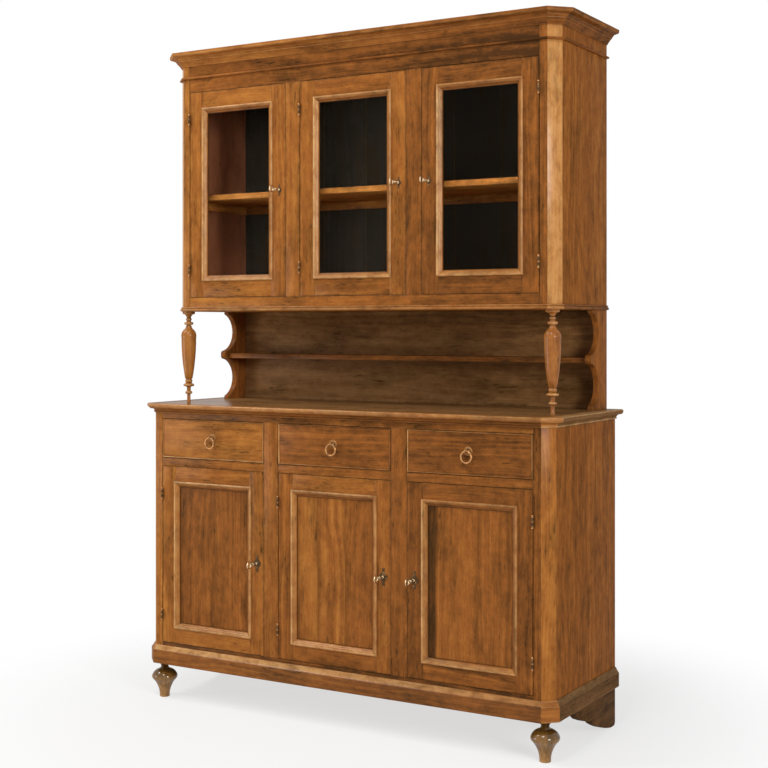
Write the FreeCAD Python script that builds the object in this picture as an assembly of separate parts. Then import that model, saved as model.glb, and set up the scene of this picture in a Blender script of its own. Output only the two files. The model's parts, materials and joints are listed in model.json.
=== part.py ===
import FreeCAD, Part
import math
import os

# Country dresser: a base cupboard with three drawers over three panelled doors, an open niche between
# turned columns, and a glazed hutch with a moulded cornice. All sizes are in millimetres.
# Drawn with X = 0 in the middle, Y = 0 on the front face of the base (Y grows to the back) and Z = 0 on
# the floor; every piece is moved at the end so that the origin is the middle of the footprint.

V = FreeCAD.Vector

# ---------------------------------------------------------------- driving sizes: heights
total_height = 2200.0
worktop_height = 1001.0
worktop_thickness = 31.0
foot_height = 122.0
plinth_height = 62.0
plinth_reveal = 11.0            # strip of the bottom rail seen above the plinth
middle_rail_height = 27.0
drawer_opening_height = 133.0
top_rail_height = 18.0
niche_height = 313.0
hutch_bottom_rail_height = 47.0
frieze_height = 134.0           # from the door openings of the hutch to its top

# ---------------------------------------------------------------- driving sizes: plan
base_width = 1488.0
base_depth = 494.0
base_cant = 33.0                # leg of the 45 degree corner
base_end_stile = 25.0
base_mullion = 56.0
hutch_side_inset = 28.0         # the hutch is narrower than the base by this on each side
hutch_setback = 109.0
hutch_cant = 34.0
hutch_end_stile = 25.5
hutch_mullion = 55.0

# ---------------------------------------------------------------- boards
frame_thickness = 24.0          # face frames and doors
side_thickness = 20.0
back_thickness = 9.0
partition_thickness = 18.0
floor_thickness = 18.0
shelf_thickness = 18.0
cleat_width = 16.0
cleat_height = 26.0
back_board_count = 8
base_shelf_setback = 40.0
hutch_shelf_height = 403.0      # top of the shelf above the underside of the hutch
hutch_shelf_setback = 36.0
top_board_thickness = 18.0

# ---------------------------------------------------------------- worktop, plinth, cornice, beads
worktop_overhang = 28.0
worktop_nose_height = 11.0
worktop_bead_height = 6.0
worktop_bead_projection = 6.0
plinth_projection = 13.0
plinth_cove_height = 15.0
cornice_height = 44.0
cornice_projection = 42.0
cornice_nose_height = 12.0
frieze_bead_rise = 46.0         # underside of the frieze bead above the door openings
frieze_bead_height = 7.0
frieze_bead_projection = 9.0
bottom_bead_height = 15.0
bottom_bead_projection = 7.5

# ---------------------------------------------------------------- niche
niche_back_thickness = 12.0
niche_shelf_thickness = 16.0
niche_shelf_rise = 163.0        # top of the niche shelf above the worktop
niche_shelf_depth = 103.0
bracket_thickness = 20.0
bracket_depth = 112.0
bracket_beak_depth = 132.0
bracket_lobe_depth = 64.0
bracket_beak_height = 14.0
column_inset = 31.0             # column axis from the hutch's two faces
column_belly_radius = 25.5
column_neck_radius = 7.0
column_bead_radius = 12.5
column_ring_radius = 19.0       # ring under the belly
column_taper_radius = 13.0      # lower end of the belly
column_collar_radius = 16.0     # ring over the belly
column_cap_radius = 21.5

# ---------------------------------------------------------------- feet
front_foot_inset = 37.0         # foot axis from the base's two faces
front_foot_radius = 43.0
front_foot_collar_radius = 28.0
front_foot_neck_radius = 12.0
front_foot_ankle_radius = 23.5
front_foot_toe_radius = 15.0
foot_block_size = 62.0
rear_foot_length = 330.0        # along the side, wing included
rear_foot_thickness = 22.0
rear_foot_pad_length = 35.0     # level part that stands on the floor, with its rounded end
rear_foot_return_length = 95.0
rear_foot_block_size = 40.0

# ---------------------------------------------------------------- doors
door_gap = 1.5
base_door_stile = 49.0          # seen from the door's edge to the moulding
base_door_rail = 49.0
hutch_door_stile = 52.0
hutch_door_rail = 54.0
moulding_width = 20.0
moulding_lip = 6.0              # part of the moulding that lies on the stile
moulding_rise = 5.5             # stands proud of the frame
panel_recess = 9.0              # panel and glass lie this far behind the door's face
panel_thickness = 8.0
groove_depth = 9.0
panel_play = 1.0                # each panel edge stays this far from the bottom of its groove
glass_thickness = 3.0
glazing_bead_width = 7.0
glazing_bead_depth = 9.0
tenon_length = 30.0
tenon_shoulder = 12.0
panel_joints = {"left": (0.51,), "centre": (0.30, 0.62), "right": (0.14, 0.58)}

# ---------------------------------------------------------------- hinges
hinge_offset = 94.0             # middle of each hinge from the end of the opening
hinge_height = 28.0
hinge_barrel_radius = 4.2
hinge_pin_radius = 2.0
hinge_bore_clearance = 0.1
hinge_end_clearance = 0.2
hinge_face_clearance = 0.5      # barrel in front of the doors' face
hinge_finial_height = 6.0
leaf_thickness = 1.2
leaf_clearance = 0.5            # between the two leaves in the closed door's gap
leaf_depth = 18.0

# ---------------------------------------------------------------- locks and keys
lock_backset = 25.0             # key axis from the door's free edge
lock_case_length = 37.0
lock_case_depth = 12.0
lock_case_wall = 1.5
lock_case_above = 24.0
lock_case_below = 13.0
lock_edge_inset = 1.5
bolt_height = 9.0
bolt_thickness = 6.0
bolt_length = 33.0
bolt_travel = 8.0
bolt_clearance = 0.3
key_shaft_radius = 2.5
key_bit_radius = 9.0
key_bit_width = 5.0
key_bit_thickness = 2.0
key_reach = 57.0                # front of the bow in front of the door's face
key_bow_radius = 12.0
key_bow_band = 3.4
key_bow_thickness = 3.0
key_collar_radius = 4.2
key_collar_length = 3.0
keyhole_clearance = 0.4
escutcheon_thickness = 1.2
base_escutcheon_height = 54.0
hutch_escutcheon_height = 38.0

# ---------------------------------------------------------------- drawers
drawer_back_gap = 45.0          # behind the closed drawer
drawer_side_thickness = 11.0
drawer_back_thickness = 10.0
drawer_bottom_thickness = 6.0
drawer_groove_depth = 5.0
drawer_groove_rise = 9.0        # bottom panel above the lower edge of the sides
drawer_side_drop = 14.0         # top edge of the sides below the top of the opening
drawer_running_clearance = 0.4
drawer_guide_clearance = 1.0
cock_bead_width = 4.0
cock_bead_depth = 6.5
cock_bead_rise = 2.5
runner_height = 20.0
guide_height = 14.0
runner_overlap = 2.0            # runner past the inner face of the drawer's side

# ---------------------------------------------------------------- ring pulls
rosette_radius = 14.0
rosette_thickness = 2.0
pull_rise = 7.5                 # eye above the middle of the drawer front
pull_reach = 14.5               # eye in front of the drawer's face
pull_stud_radius = 3.0
pull_eye_radius = 5.5
pull_eye_width = 6.0
ring_radius = 17.4              # to the middle of the wire
ring_wire_radius = 3.2
ring_clearance = 0.6            # between the wire and the eye's bore

# ---------------------------------------------------------------- how finely curves are drawn
scallop_step_count = 6          # straight steps along each arc of a scalloped board
turning_step_count = 3               # straight steps along each arc of a turned outline
moulding_step_count = 3              # and along each arc of a small moulding
cornice_step_count = 4
turning_flat_count = 16              # flats round a column or a foot
hinge_flat_count = 8
key_flat_count = 8
key_bow_flat_count = 16
keyhole_flat_count = 12
rosette_flat_count = 16
eye_flat_count = 12
ring_flat_count = 20
ring_wire_flat_count = 6

# ---------------------------------------------------------------- places worked out from the sizes
carcass_bottom = foot_height
plinth_top = foot_height + plinth_height
base_opening_bottom = plinth_top + plinth_reveal
worktop_underside = worktop_height - worktop_thickness
drawer_opening_top = worktop_underside - top_rail_height
drawer_opening_bottom = drawer_opening_top - drawer_opening_height
base_opening_top = drawer_opening_bottom - middle_rail_height
base_opening_height = base_opening_top - base_opening_bottom
hutch_bottom = worktop_height + niche_height
hutch_opening_bottom = hutch_bottom + hutch_bottom_rail_height
hutch_opening_top = total_height - frieze_height
hutch_opening_height = hutch_opening_top - hutch_opening_bottom
hutch_width = base_width - 2 * hutch_side_inset
base_opening_width = (base_width - 2 * (base_cant + base_end_stile + base_mullion)) / 3
hutch_opening_width = (hutch_width - 2 * (hutch_cant + hutch_end_stile + hutch_mullion)) / 3
base_back_face = base_depth - back_thickness
drawer_length = base_back_face - drawer_back_gap
front_reach = max(key_reach, worktop_overhang)
footprint_middle = (base_depth - front_reach) / 2
sides = ("left", "centre", "right")


# ---------------------------------------------------------------- helpers
def box(x0, x1, y0, y1, z0, z1):
    return Part.makeBox(x1 - x0, y1 - y0, z1 - z0, V(x0, y0, z0))


def in_plan(a, b):
    return V(a, b, 0)


def in_side(a, b):
    return V(0, a, b)


def in_front(a, b):
    return V(a, 0, b)


def face_of(points, place):
    corners = [place(*point) for point in points]
    return Part.Face(Part.makePolygon(corners + corners[:1]))


def prism(outline, z0, z1):
    solid = face_of(outline, in_plan).extrude(V(0, 0, z1 - z0))
    solid.translate(V(0, 0, z0))
    return solid


def side_board(outline, x0, x1):
    """A board in the Y-Z plane."""
    solid = face_of(straightened(outline, scallop_step_count), in_side).extrude(V(x1 - x0, 0, 0))
    solid.translate(V(x0, 0, 0))
    return solid


def straightened(outline, steps):
    """An outline's points, with each arc, given as a pair (through, end), drawn as a few straight steps."""
    points = [outline[0]]
    for step in outline[1:]:
        if isinstance(step[0], tuple):
            through, end = step
            arc = Part.Arc(in_plan(*points[-1]), in_plan(*through), in_plan(*end))
            points += [(point.x, point.y) for point in arc.discretize(steps + 1)[1:]]
        else:
            points.append(step)
    return points


def turned(outline, flats, x=0.0, y=0.0):
    """A turned piece with flats round it, from its (radius, height) outline drawn anticlockwise."""
    points = straightened(outline, turning_step_count)
    faces = []
    for (r0, z0), (r1, z1) in zip(points, points[1:] + points[:1]):
        for i in range(flats if r0 + r1 > 0 else 0):
            corners = []
            for r, z, turn in ((r0, z0, i), (r0, z0, i + 1), (r1, z1, i + 1), (r1, z1, i)):
                angle = 2 * math.pi * (turn % flats) / flats
                corner = V(x + r * math.cos(angle), y + r * math.sin(angle), z)
                if corner not in corners:
                    corners.append(corner)
            faces.append(Part.Face(Part.makePolygon(corners + corners[:1])))
    return Part.Solid(Part.Shell(faces)).removeSplitter()


def rod(x, y0, y1, z, radius, flats):
    """A rod along Y, with flats round it."""
    length = y1 - y0
    upright = turned([(0, 0), (radius, 0), (radius, length), (0, length)], flats)
    upright.rotate(V(0, 0, 0), V(1, 0, 0), -90)
    return moved(upright, x, y0, z)


def mirrored(solid, x):
    return solid.mirror(V(x, 0, 0), V(1, 0, 0))


def both_sides(solid):
    return [solid, mirrored(solid, 0)]


def moved(solid, x, y, z):
    copy = solid.copy()
    copy.translate(V(x, y, z))
    return copy


def normals_of(points, closed):
    """The outward (right-hand) normal of each run of a path in plan."""
    count = len(points) if closed else len(points) - 1
    normals = []
    for i in range(count):
        x0, y0 = points[i]
        x1, y1 = points[(i + 1) % len(points)]
        length = math.hypot(x1 - x0, y1 - y0)
        normals.append(((y1 - y0) / length, (x0 - x1) / length))
    return normals


def mitre_at(normals, i, closed):
    """How far a corner moves, in plan, for each millimetre that its two runs move outwards."""
    if closed:
        a, b = normals[i - 1], normals[i % len(normals)]
    else:
        a, b = normals[max(i - 1, 0)], normals[min(i, len(normals) - 1)]
    scale = 1 + a[0] * b[0] + a[1] * b[1]
    return ((a[0] + b[0]) / scale, (a[1] + b[1]) / scale)


def offset_path(points, distance, closed=False):
    normals = normals_of(points, closed)
    shifted = []
    for i, (x, y) in enumerate(points):
        mx, my = mitre_at(normals, i, closed)
        shifted.append((x + mx * distance, y + my * distance))
    return shifted


def mitred_mouldings(profile, points, closed=False):
    """One mitred length of moulding for each run of a path; the profile is (outwards, upwards)."""
    reach = max(abs(across) for across, height in profile) + 1
    normals = normals_of(points, closed)
    inner = offset_path(points, -reach, closed)
    outer = offset_path(points, reach, closed)
    low = min(height for across, height in profile) - 1
    high = max(height for across, height in profile) + 1
    lengths = []
    for i, normal in enumerate(normals):
        j = (i + 1) % len(points)
        run = math.dist(points[i], points[j])
        bar = face_of(profile, in_front).extrude(V(0, run + 4 * reach, 0))
        bar.translate(V(0, -2 * reach, 0))
        bar.rotate(V(0, 0, 0), V(0, 0, 1), math.degrees(math.atan2(normal[1], normal[0])))
        bar.translate(V(points[i][0], points[i][1], 0))
        lengths.append(bar.common(prism([inner[i], inner[j], outer[j], outer[i]], low, high)))
    return [piece.Solids[0] for piece in lengths]


def raised(solids, z):
    return [moved(solid, 0, 0, z) for solid in solids]


def front_mouldings(profile, x0, x1, z0, z1):
    """Four mitred lengths round a rectangle on the face Y = 0; the profile is (inwards, forwards)."""
    turned_in = [(-a, b) for a, b in profile]
    lengths = mitred_mouldings(turned_in, [(x0, z0), (x1, z0), (x1, z1), (x0, z1)], closed=True)
    for piece in lengths:
        piece.rotate(V(0, 0, 0), V(1, 0, 0), 90)
    return lengths


def corner_path(width, front, back, cant):
    """The plan of a carcass with canted front corners, from its left back round to its right back."""
    half = width / 2
    return [(-half, back), (-half, front + cant), (-half + cant, front),
            (half - cant, front), (half, front + cant), (half, back)]


nodes = {}


def keep(name, solids):
    nodes.setdefault(name, []).extend(solids if isinstance(solids, list) else [solids])


# ---------------------------------------------------------------- carcass pieces shared by base and hutch
def corner_board(width, front, cant, z0, z1):
    """The canted board between the face frame and the right side panel."""
    half = width / 2
    return prism([(half - cant, front), (half, front + cant), (half - side_thickness, front + cant),
                  (half - cant, front + frame_thickness)], z0, z1)


def inner_plan(width, front, back, cant):
    """The plan of a floor that fills the carcass behind its face frame."""
    half = width / 2
    return [(cant - half, front + frame_thickness), (half - cant, front + frame_thickness),
            (half - side_thickness, front + cant), (half - side_thickness, back),
            (side_thickness - half, back), (side_thickness - half, front + cant)]


def carcass_sides(width, front, cant, z0, z1):
    half = width / 2
    panel = box(half - side_thickness, half, front + cant, base_depth, z0, z1)
    return both_sides(panel) + both_sides(corner_board(width, front, cant, z0, z1))


def back_boards(width, z0, z1):
    """Vertical back boards between the side panels."""
    half = width / 2 - side_thickness
    pitch = 2 * half / back_board_count
    return [box(-half + i * pitch, -half + (i + 1) * pitch, base_back_face, base_depth, z0, z1)
            for i in range(back_board_count)]


def openings_of(opening_width, mullion):
    """The left edge of each of the three openings."""
    return {side: (i - 1.5) * opening_width + (i - 1) * mullion for i, side in enumerate(sides)}


base_openings = openings_of(base_opening_width, base_mullion)
hutch_openings = openings_of(hutch_opening_width, hutch_mullion)


def face_frame(width, front, cant, openings, opening_width, z0, z1, bottom_rail, top_rail):
    """End stiles, mullions and the two long rails."""
    half = width / 2 - cant
    inner = -openings["left"]
    y1 = front + frame_thickness
    pieces = both_sides(box(inner, half, front, y1, z0, z1))
    pieces.append(box(-inner, inner, front, y1, z0, z0 + bottom_rail))
    pieces.append(box(-inner, inner, front, y1, z1 - top_rail, z1))
    for side in ("left", "centre"):
        x0 = openings[side] + opening_width
        x1 = openings[sides[sides.index(side) + 1]]
        pieces.append(box(x0, x1, front, y1, z0 + bottom_rail, z1 - top_rail))
    return pieces


# ---------------------------------------------------------------- base
def make_base(jamb_recesses):
    keep("base_side_panels", carcass_sides(base_width, 0, base_cant, carcass_bottom, worktop_underside))
    frame = face_frame(base_width, 0, base_cant, base_openings, base_opening_width, carcass_bottom,
                       worktop_underside, base_opening_bottom - carcass_bottom, top_rail_height)
    for x in base_openings.values():
        frame.append(box(x, x + base_opening_width, 0, frame_thickness, base_opening_top,
                         drawer_opening_bottom))
    keep("base_face_frame", [cut_all(piece, jamb_recesses) for piece in frame])

    floor_top = base_opening_bottom
    plan = inner_plan(base_width, 0, base_back_face, base_cant)
    keep("base_floor", prism(plan, floor_top - floor_thickness, floor_top))
    walls = [side_thickness - base_width / 2]
    for side in ("left", "centre"):
        middle = base_openings[side] + base_opening_width + base_mullion / 2
        walls += [middle - partition_thickness / 2, middle + partition_thickness / 2]
        keep("base_partitions_and_shelves",
             box(middle - partition_thickness / 2, middle + partition_thickness / 2, frame_thickness,
                 base_back_face, floor_top, worktop_underside))
    walls.append(base_width / 2 - side_thickness)

    shelf_top = (base_opening_bottom + base_opening_top + shelf_thickness) / 2
    shelf_bottom = shelf_top - shelf_thickness
    shelf_front = frame_thickness + base_shelf_setback
    for x0, x1, side in zip(walls[::2], walls[1::2], sides):
        keep("base_partitions_and_shelves",
             box(x0, x1, shelf_front, base_back_face, shelf_bottom, shelf_top))
        for left, right in ((x0, x0 + cleat_width), (x1 - cleat_width, x1)):
            keep("base_partitions_and_shelves",
                 box(left, right, shelf_front, base_back_face, shelf_bottom - cleat_height, shelf_bottom))
        x = base_openings[side]
        keep("drawer_runners", [runner(x0, x, 1), runner(x1, x + base_opening_width, -1)])
    keep("base_back_boards", back_boards(base_width, carcass_bottom, worktop_underside))


def runner(wall, opening_edge, inwards):
    """An L-shaped runner: the drawer's side slides on its foot and against its upright guide."""
    side_face = opening_edge + inwards * door_gap
    foot = side_face + inwards * (drawer_side_thickness + runner_overlap)
    guide = side_face - inwards * drawer_guide_clearance
    z = drawer_opening_bottom
    section = [(wall, z - runner_height), (foot, z - runner_height), (foot, z), (guide, z),
               (guide, z + guide_height), (wall, z + guide_height)]
    bar = face_of(section, in_front).extrude(V(0, base_back_face, 0))
    inside = prism(inner_plan(base_width, 0, base_back_face, base_cant), 0, worktop_height)
    return bar.common(inside).Solids[0]


def make_plinth():
    d, h, c = plinth_projection, plinth_height, plinth_cove_height
    profile = [(0, 0), (d - 4, 0), ((d - 1.2, 1.2), (d, 4)), (d, h - c - 2), (d - 2, h - c),
               ((d * 0.52, h - c * 0.55), (3, h - 2)), (3, h), (0, h)]
    profile = straightened(profile, moulding_step_count)
    path = corner_path(base_width, 0, base_depth, base_cant)
    keep("plinth_moulding", raised(mitred_mouldings(profile, path), carcass_bottom))


def make_feet():
    r, collar, top = front_foot_radius, front_foot_collar_radius, foot_height
    knee = 0.6 * top            # widest point of the bulb
    neck, ankle, toe = front_foot_neck_radius, front_foot_ankle_radius, front_foot_toe_radius
    outline = [(0, 0), (toe, 0), (toe + 2, 0.03 * top), ((toe + 4, 0.19 * top), (ankle, 0.3 * top)),
               ((0.73 * r, 0.42 * top), (r - 3.5, 0.5 * top)), ((r - 0.5, 0.54 * top), (r, knee)),
               ((0.86 * r, 0.69 * top), (neck + 4, 0.79 * top)), (neck, 0.85 * top),
               ((neck + 4, 0.92 * top), (collar, top - 2)), (collar, top), (0, top)]
    x = base_width / 2 - front_foot_inset
    keep("front_feet", both_sides(turned(outline, turning_flat_count, x, front_foot_inset)))

    half = base_width / 2
    floor_bottom = base_opening_bottom - floor_thickness
    edge = half - base_cant
    block = prism([(edge, frame_thickness), (half - side_thickness, base_cant),
                   (half - side_thickness, frame_thickness + foot_block_size),
                   (edge - foot_block_size, frame_thickness + foot_block_size),
                   (edge - foot_block_size, frame_thickness)], carcass_bottom, floor_bottom)
    keep("base_floor", both_sides(block))

    back, front = base_depth, base_depth - rear_foot_length
    pad = back - rear_foot_pad_length
    wing = front + 0.17 * rear_foot_length
    step = front + 0.41 * rear_foot_length      # where the two lobes meet
    h = foot_height
    outline = [(back, h), (front, h), (front + 4, 0.95 * h),
               ((front + 0.5 * (wing - front), 0.76 * h), (wing, 0.66 * h)),
               ((wing + 0.5 * (step - wing), 0.55 * h), (step, 0.49 * h)), (step + 6, 0.41 * h),
               ((step + 0.5 * (pad - step), 0.16 * h), (pad, 0)),
               (back - 12, 0), ((back - 3.5, 3.5), (back, 12))]
    keep("rear_bracket_feet", both_sides(side_board(outline, half - rear_foot_thickness, half)))
    inner = half - rear_foot_thickness
    tip = inner - rear_foot_return_length
    outline = [(inner, 0), (inner, foot_height), (tip, foot_height),
               ((tip + 0.30 * rear_foot_return_length, 0.62 * foot_height),
                (tip + 0.42 * rear_foot_return_length, 0))]
    outline = straightened(outline, scallop_step_count)
    back_board = face_of(outline, in_front).extrude(V(0, rear_foot_thickness, 0))
    keep("rear_bracket_feet", both_sides(moved(back_board, 0, base_depth - rear_foot_thickness, 0)))
    keep("rear_bracket_feet",
         both_sides(box(inner - rear_foot_block_size, inner,
                        base_depth - rear_foot_thickness - rear_foot_block_size,
                        base_depth - rear_foot_thickness, 6, foot_height)))


def make_worktop():
    """One slab whose edge is a rounded nose over a cyma and a small bead."""
    d, h = worktop_overhang, worktop_thickness
    nose, bead, lip = worktop_nose_height, worktop_bead_height, worktop_bead_projection
    edge = [(0, 0), (lip - 3, 0), ((lip, bead / 2), (lip - 3, bead)), (lip - 2, bead),
            ((lip + 3, bead + 0.42 * (h - nose - bead)), (0.5 * (d + lip), h - nose - 5)),
            ((d - 4, h - nose - 3), (d - 1.5, h - nose)), ((d, h - nose / 2), (d - 1.5, h - 2)), (d - 4, h),
            (0, h)]
    path = corner_path(base_width, 0, base_depth, base_cant)
    slab = prism(path, 0, h)
    pieces = mitred_mouldings(straightened(edge, moulding_step_count), path)
    worktop = slab.multiFuse(pieces).removeSplitter()
    keep("worktop", moved(worktop.Solids[0], 0, 0, worktop_underside))


# ---------------------------------------------------------------- niche
def make_niche():
    z0, z1 = worktop_height, hutch_bottom
    h = z1 - z0
    r, n, b = column_belly_radius, column_neck_radius, column_bead_radius
    g, t, c = column_ring_radius, column_taper_radius, column_collar_radius
    k = column_cap_radius
    outline = [(0, 0), (n + 0.5, 0), (n - 1, 0.012 * h), (n - 1, 0.088 * h), (b - 2, 0.093 * h),
               (b, 0.102 * h), (b - 2, 0.111 * h), (n, 0.12 * h), (n, 0.165 * h), (g - 5, 0.172 * h),
               (g, 0.18 * h), (g, 0.193 * h), (g - 5, 0.201 * h), (n + 3, 0.21 * h),
               ((b, 0.232 * h), (n + 3, 0.252 * h)), (t, 0.262 * h), ((0.87 * r, 0.475 * h), (r, 0.71 * h)),
               ((0.9 * r, 0.775 * h), (c - 2, 0.808 * h)), (n + 4, 0.82 * h), (n + 4, 0.832 * h),
               (n + 1.5, 0.84 * h), (n + 1.5, 0.853 * h), (c, 0.861 * h), (c, 0.872 * h),
               (n + 1, 0.883 * h), (n + 1, 0.903 * h), (b - 2, 0.908 * h), (b - 2, 0.918 * h),
               (n + 0.5, 0.926 * h), ((n + 4, 0.957 * h), (k - 1.5, 0.972 * h)), (k, 0.978 * h), (k, h),
               (0, h)]
    column = turned(outline, turning_flat_count, hutch_width / 2 - column_inset, hutch_setback + column_inset)
    keep("niche_columns", both_sides(moved(column, 0, 0, z0)))

    back = base_depth
    top, beak, lobe = back - bracket_depth, back - bracket_beak_depth, back - bracket_lobe_depth
    beak_top = z0 + niche_shelf_rise + 3
    beak_bottom = beak_top - bracket_beak_height
    throat = beak + 14          # where each lobe meets the beak
    outline = [(back, z0), (top, z0), (top, z0 + 10),
               ((lobe, (z0 + beak_bottom) / 2), (throat, beak_bottom - 8)),
               ((beak + 4, beak_bottom - 5), (beak, beak_bottom)), (beak, beak_top),
               ((beak + 4, beak_top + 5), (throat, beak_top + 8)),
               ((lobe, (beak_top + z1) / 2), (top, z1 - 8)), (top, z1), (back, z1)]
    half = hutch_width / 2
    keep("niche_side_brackets", both_sides(side_board(outline, half - bracket_thickness, half)))
    inner = half - bracket_thickness
    keep("niche_back_panel", box(-inner, inner, back - niche_back_thickness, back, z0, z1))
    shelf_top = z0 + niche_shelf_rise
    shelf_back = back - niche_back_thickness
    keep("niche_shelf", box(-inner, inner, shelf_back - niche_shelf_depth, shelf_back,
                            shelf_top - niche_shelf_thickness, shelf_top))


# ---------------------------------------------------------------- hutch
def make_hutch(jamb_recesses):
    z0, z1, front = hutch_bottom, total_height, hutch_setback
    keep("hutch_side_panels", carcass_sides(hutch_width, front, hutch_cant, z0, z1))
    frame = face_frame(hutch_width, front, hutch_cant, hutch_openings, hutch_opening_width, z0, z1,
                       hutch_bottom_rail_height, frieze_height)
    keep("hutch_face_frame", [cut_all(piece, jamb_recesses) for piece in frame])
    plan = inner_plan(hutch_width, front, base_back_face, hutch_cant)
    keep("hutch_floor_and_top", prism(plan, z0, z0 + floor_thickness))
    keep("hutch_floor_and_top", prism(plan, z1 - top_board_thickness, z1))
    keep("hutch_back_boards", back_boards(hutch_width, z0, z1))

    half = hutch_width / 2 - side_thickness
    shelf_top = z0 + hutch_shelf_height
    shelf_bottom = shelf_top - shelf_thickness
    shelf_front = front + frame_thickness + hutch_shelf_setback
    keep("hutch_shelf", box(-half, half, shelf_front, base_back_face, shelf_bottom, shelf_top))
    keep("hutch_shelf", both_sides(box(half - cleat_width, half, shelf_front, base_back_face,
                                       shelf_bottom - cleat_height, shelf_bottom)))
    keep("hutch_shelf", box(-half + cleat_width, half - cleat_width, base_back_face - cleat_width,
                            base_back_face, shelf_bottom - cleat_height, shelf_bottom))

    path = corner_path(hutch_width, front, base_depth, hutch_cant)
    p, h, nose = cornice_projection, cornice_height, cornice_nose_height
    profile = [(0, 0), (2.5, 0), (2.5, 1.5), ((0.17 * p, 0.18 * h), (0.36 * p, 0.39 * h)),
               (0.41 * p, 0.4 * h), (0.41 * p, 0.44 * h), ((0.47 * p, 0.53 * h), (0.56 * p, 0.6 * h)),
               (0.57 * p, h - nose - 3), ((0.73 * p, h - nose - 1.5), (0.86 * p, h - nose)),
               ((0.97 * p, h - 0.8 * nose), (p, h - 0.45 * nose)), (p, h), (0, h)]
    profile = straightened(profile, cornice_step_count)
    keep("cornice_and_beads", raised(mitred_mouldings(profile, path), z1 - cornice_height))
    b, t = frieze_bead_projection, frieze_bead_height
    profile = [(0, 0), (b - t / 2, 0), ((b, t / 2), (b - t / 2, t)), (0, t)]
    profile = straightened(profile, moulding_step_count)
    keep("cornice_and_beads", raised(mitred_mouldings(profile, path), hutch_opening_top + frieze_bead_rise))
    b, t = bottom_bead_projection, bottom_bead_height
    profile = [(0, 0), (b - 3.5, 0), ((b, 0.3 * t), (b - 3.5, 0.6 * t)), (b - 5, 0.62 * t),
               ((b - 3, 0.8 * t), (b - 5, t)), (0, t)]
    profile = straightened(profile, moulding_step_count)
    keep("cornice_and_beads", raised(mitred_mouldings(profile, path), z0))


# ---------------------------------------------------------------- doors, drawn in their own opening
# A door is drawn hinged on its left in an opening that starts at X = 0, Z = 0, and mirrored where its
# hinges are on the right.
def cut_all(piece, tools):
    near = [tool for tool in tools if tool.BoundBox.intersect(piece.BoundBox)]
    return piece.cut(near).Solids[0] if near else piece


def keyhole(x, z, y0, y1):
    """A round hole with a slot below it, for the key's bit."""
    radius = key_shaft_radius + keyhole_clearance
    slot = key_bit_thickness / 2 + keyhole_clearance
    drop = key_bit_radius + keyhole_clearance
    return rod(x, y0, y1, z, radius, keyhole_flat_count).fuse(box(x - slot, x + slot, y0, y1, z - drop, z))


def door_frame(width, height, stile, rail, glazed):
    """Stiles, rails with their tenons, and what holds the panel or the glass."""
    x0, x1, z0, z1 = door_gap, width - door_gap, door_gap, height - door_gap
    stile_board, rail_board = stile + moulding_lip, rail + moulding_lip
    left, right = x0 + stile_board, x1 - stile_board
    low, high = z0 + rail_board, z1 - rail_board
    t, y0, y1 = frame_thickness, panel_recess, panel_recess + panel_thickness
    back = t if glazed else y1
    groove = box(left - groove_depth, right + groove_depth, y0, back, low - groove_depth,
                 high + groove_depth)
    rails = []
    mortises = []
    for a, b in ((z0, low), (high, z1)):
        tenon = box(left - tenon_length, right + tenon_length, y0, y1, a + tenon_shoulder,
                    b - tenon_shoulder)
        body = box(left, right, 0, t, a, b).cut(groove)
        rails.append(body.fuse(tenon).removeSplitter().Solids[0])
        mortises.append(tenon)
    stiles = [box(x0, left, 0, t, z0, z1), box(right, x1, 0, t, z0, z1)]
    stiles = [board.cut([groove] + mortises) for board in stiles]
    key_x, key_z = x1 - lock_backset, height / 2
    stiles[1] = stiles[1].cut(keyhole(key_x, key_z, -1, t + 1))
    bead, d = moulding_rise, panel_recess
    w, lip = moulding_width, moulding_lip
    profile = [(0, 0), (0, 1.5), ((0.8, bead - 1.2), (0.17 * w, bead)),
               ((0.27 * w, bead - 0.5), (0.33 * w, bead - 1.6)),
               ((0.49 * w, bead - 2.8), (0.64 * w, -0.2)), ((0.76 * w, -0.38 * d), (0.93 * w, -0.62 * d)),
               (w, -0.66 * d), (w, -d), (lip, -d), (lip, 0)]
    profile = straightened(profile, moulding_step_count)
    mouldings = front_mouldings(profile, x0 + stile, x1 - stile, z0 + rail, z1 - rail)
    pieces = [board.Solids[0] for board in stiles] + rails + mouldings
    if glazed:
        y = panel_recess + glass_thickness
        g, b = groove_depth, glazing_bead_width
        for a in (left - g, right + g - b):
            pieces.append(box(a, a + b, y, y + glazing_bead_depth, low - g, high + g))
        for a in (low - g, high + g - b):
            pieces.append(box(left - g + b, right + g - b, y, y + glazing_bead_depth, a, a + b))
    return pieces


def door_infill(width, height, stile, rail, glazed, joints):
    """The pane of glass, or the panel as the boards that it is glued up from."""
    edge = groove_depth - panel_play - moulding_lip
    x0, x1 = door_gap + stile - edge, width - door_gap - stile + edge
    z0, z1 = door_gap + rail - edge, height - door_gap - rail + edge
    if glazed:
        return [box(x0, x1, panel_recess, panel_recess + glass_thickness, z0, z1)]
    cuts = [x0] + [x0 + share * (x1 - x0) for share in joints] + [x1]
    return [box(a, b, panel_recess, panel_recess + panel_thickness, z0, z1)
            for a, b in zip(cuts, cuts[1:])]


hinge_axis_x = door_gap / 2
hinge_axis_y = -(hinge_barrel_radius + hinge_face_clearance)
leaf_recess = leaf_thickness - (door_gap - leaf_clearance) / 2


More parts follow.
